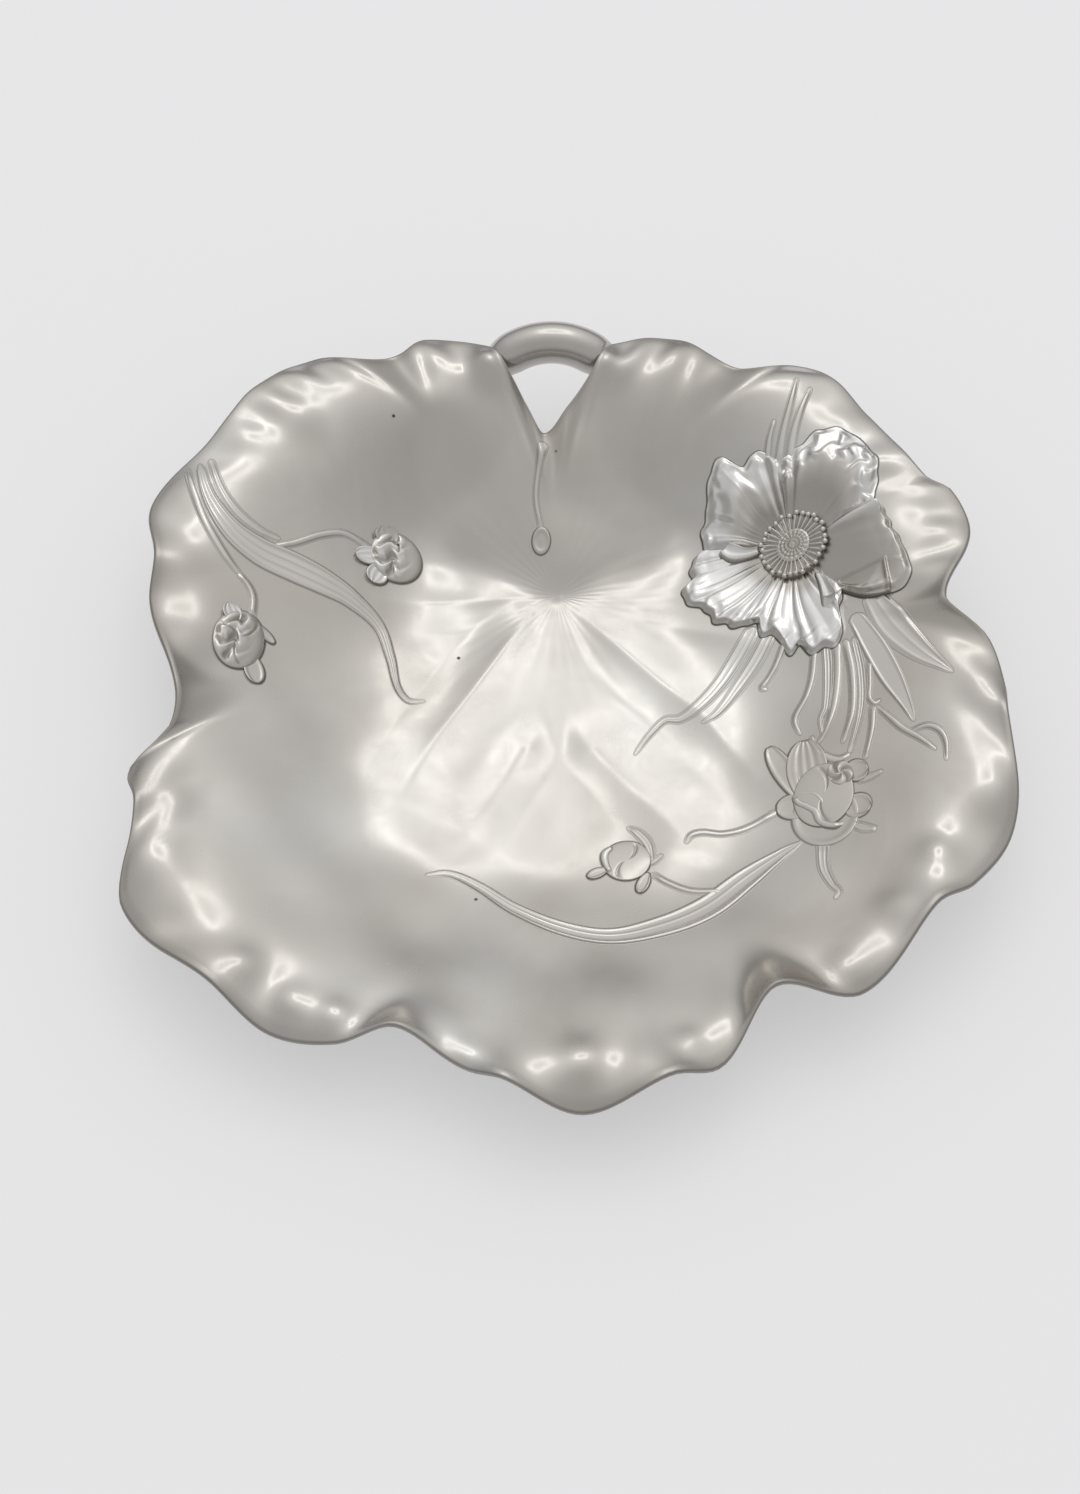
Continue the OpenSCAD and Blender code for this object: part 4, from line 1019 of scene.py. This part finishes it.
def pewter(name, bright, dull, smooth_to, rough_to, bump):
    """Metal that drifts between two tones, dark in recesses, pits and painted shade, light where rubbed
    and where highlights are painted, finely scratched.
    """
    material = bpy.data.materials.new(name)
    material.use_nodes = True
    tree = material.node_tree
    shader = tree.nodes["Principled BSDF"]
    shader.inputs["Metallic"].default_value = 1.0

    def mix(factor, first, second):
        """A colour between two, by a factor."""
        links = [("Factor", factor), ("A", first), ("B", second)]
        return add(tree, "Mix", links, data_type="RGBA").outputs["Result"]

    cloud = add(tree, "Group", node_tree=clouds)
    fine_cloud = add(tree, "Group", node_tree=clouds)
    fine_cloud.inputs["Scale"].default_value = FINE_SCALE
    hair = add(tree, "Group", node_tree=lines)
    pit = add(tree, "Group", node_tree=pits)
    patina_and_painted_light = add(tree, "Attribute", attribute_name="patina_and_painted_light").outputs["Fac"]
    # Above 0 the attribute paints deposit and shade dark, as the pits are; below 0 it paints rubbed
    # metal and highlights light.
    shade_and_deposit_mask = maths(tree, "MAXIMUM", patina_and_painted_light, pit.outputs["Mask"])
    metal = mix(cloud.outputs["Mask"], bright, dull)
    shine = mix(ranged(tree, patina_and_painted_light, 0.0, -1.0), metal, RUBBED_AND_HIGHLIGHT)
    tree.links.new(mix(shade_and_deposit_mask, shine, DEPOSIT_AND_SHADE), shader.inputs["Base Color"])
    rough = ranged(tree, fine_cloud.outputs["Mask"], 0.0, 1.0, smooth_to, rough_to)
    worn = maths(tree, "MULTIPLY_ADD", shade_and_deposit_mask, RECESS_ROUGH, rough)
    tree.links.new(worn, shader.inputs["Roughness"])
    scratched = add(tree, "Bump", [("Strength", bump), ("Distance", HAIR_DEPTH),
                                   ("Height", hair.outputs["Height"])])
    tree.links.new(scratched.outputs["Normal"], shader.inputs["Normal"])
    return material


FINISHES = {
    "dish": pewter("dish_pewter", (0.66, 0.645, 0.62, 1), (0.57, 0.54, 0.5, 1), 0.19, 0.28, 0.06),
    "handle": pewter("loop_pewter", (0.64, 0.625, 0.6, 1), (0.56, 0.535, 0.5, 1), 0.2, 0.28, 0.08),
    "relief": pewter("relief_pewter", (0.67, 0.65, 0.62, 1), (0.58, 0.55, 0.51, 1), 0.18, 0.27, 0.06),
}
for piece, slot in PIECES:
    piece.data.materials.append(FINISHES[slot])
print("finished pieces:", len(PIECES))

# %% [markdown]
# ## The paper
# The tray stands on white paper, a hair below its flat face so that the two don't share a plane. The
# paper is lifted towards white only where the camera sees it, directly or mirrored in the metal, so it
# stays pale and keeps the soft shadow.

# %% Floor
FLOOR_HALF, PAPER_Z, PAPER_LIFT = 4.0, -0.0002, 0.4
PAPER = [
    ("Base Color", (0.6, 0.6, 0.612, 1)), ("Roughness", 0.9), ("Specular IOR Level", 0.1),
    ("Emission Color", (0.98, 0.985, 1.0, 1)),
]
corners = np.array([[-1, -1], [1, -1], [1, 1], [-1, 1]]) * FLOOR_HALF
paper_mesh = bpy.data.meshes.new("paper_floor")
paper_mesh.from_pydata([(x, y, PAPER_Z) for x, y in corners], [], [(0, 1, 2, 3)])
paper = put("paper_floor", paper_mesh)
white = bpy.data.materials.new("white_paper")
white.use_nodes = True
tree = white.node_tree
paper_shader = tree.nodes["Principled BSDF"]
for socket, value in PAPER:
    paper_shader.inputs[socket].default_value = value
rays = add(tree, "LightPath").outputs
shown = maths(tree, "MAXIMUM", rays["Is Camera Ray"], rays["Is Glossy Ray"])
lifted = maths(tree, "MULTIPLY", shown, PAPER_LIFT)
tree.links.new(lifted, paper_shader.inputs["Emission Strength"])
paper_mesh.materials.append(white)
print("paper:", 2 * FLOOR_HALF, "m wide")

# %% [markdown]
# ## Light
# Metal shows its surroundings, so the studio matters as much as the finish. The tray stands in a tent of
# soft light that is brightest above and behind it, where the floor of the dish looks, and falls off
# smoothly towards the camera and down to a darker horizon, which draws the dark edges of the lip. A
# square of four strip lamps leaves the small bright frames on the lip.

# %% Lamps and room
GLOW_AIM = np.array([0.05, 0.47, 0.881])
ROOM_LEVEL, GLOW, GLOW_POWER = 0.52, 0.53, 5.0
HORIZON_LEVEL, HORIZON_TOP, BACKDROP = 0.16, 0.42, 0.82
ROOM_TINT = (1.0, 0.995, 0.985, 1)
FRAME_FAR, FRAME_SIDE, STRIP_W, STRIP_RADIANCE = 1.5, 0.5, 0.11, 1.3

level_x = np.array([1.0, 0.0, 0.0])
level_y = np.cross(GLOW_AIM, level_x)
for k, (across, down) in enumerate([(0, 1), (0, -1), (1, 0), (-1, 0)]):
    strip = bpy.data.lights.new("strip_%d" % k, "AREA")
    strip.shape = "RECTANGLE"
    strip.size, strip.size_y = (STRIP_W, FRAME_SIDE) if across else (FRAME_SIDE, STRIP_W)
    strip.energy = STRIP_RADIANCE * np.pi * strip.size * strip.size_y
    lamp = put(strip.name, strip)
    lamp.location = GLOW_AIM * FRAME_FAR + (level_x * across + level_y * down) * FRAME_SIDE / 2
    lamp.rotation_euler = (-np.arctan2(GLOW_AIM[1], GLOW_AIM[2]), 0, 0)

room = bpy.data.worlds.new("studio_room")
room.use_nodes = True
bpy.context.scene.world = room
tree = room.node_tree
ray = add(tree, "TexCoord").outputs["Generated"]
split = add(tree, "SeparateXYZ", [("Vector", ray)])
facing = add(tree, "VectorMath", [(0, ray), (1, GLOW_AIM)], operation="DOT_PRODUCT")
glow = maths(tree, "POWER", maths(tree, "MAXIMUM", facing.outputs["Value"], 0.0), GLOW_POWER)
level = ranged(tree, split.outputs["Z"], 0.0, HORIZON_TOP, HORIZON_LEVEL, ROOM_LEVEL)
light = maths(tree, "MULTIPLY_ADD", glow, GLOW, level)
seen = add(tree, "LightPath").outputs["Is Camera Ray"]
strength = add(tree, "Mix", [("Factor", seen), ("A", light), ("B", BACKDROP)], data_type="FLOAT")
background = tree.nodes["Background"]
tree.links.new(strength.outputs["Result"], background.inputs["Strength"])
background.inputs["Color"].default_value = ROOM_TINT
print("lamps:", len(bpy.data.lights))

# %% [markdown]
# ## Camera
# The photo looks down on the tray at about 60 degrees, from in front of it. A normal lens from close by
# draws the front lobes larger than the back ones, as the photo does.

# %% Camera
CAMERA_AT, LOOK_DOWN, LENS = (-0.00645, -0.3856, 0.6576), 60.0, 50.0
camera_data = bpy.data.cameras.new("camera")
camera_data.lens = LENS
camera = put("camera", camera_data)
camera.location = CAMERA_AT
camera.rotation_euler = (np.radians(90 - LOOK_DOWN), 0, 0)
bpy.context.scene.camera = camera
bpy.context.scene.view_settings.view_transform = "Standard"
print("camera at", CAMERA_AT)
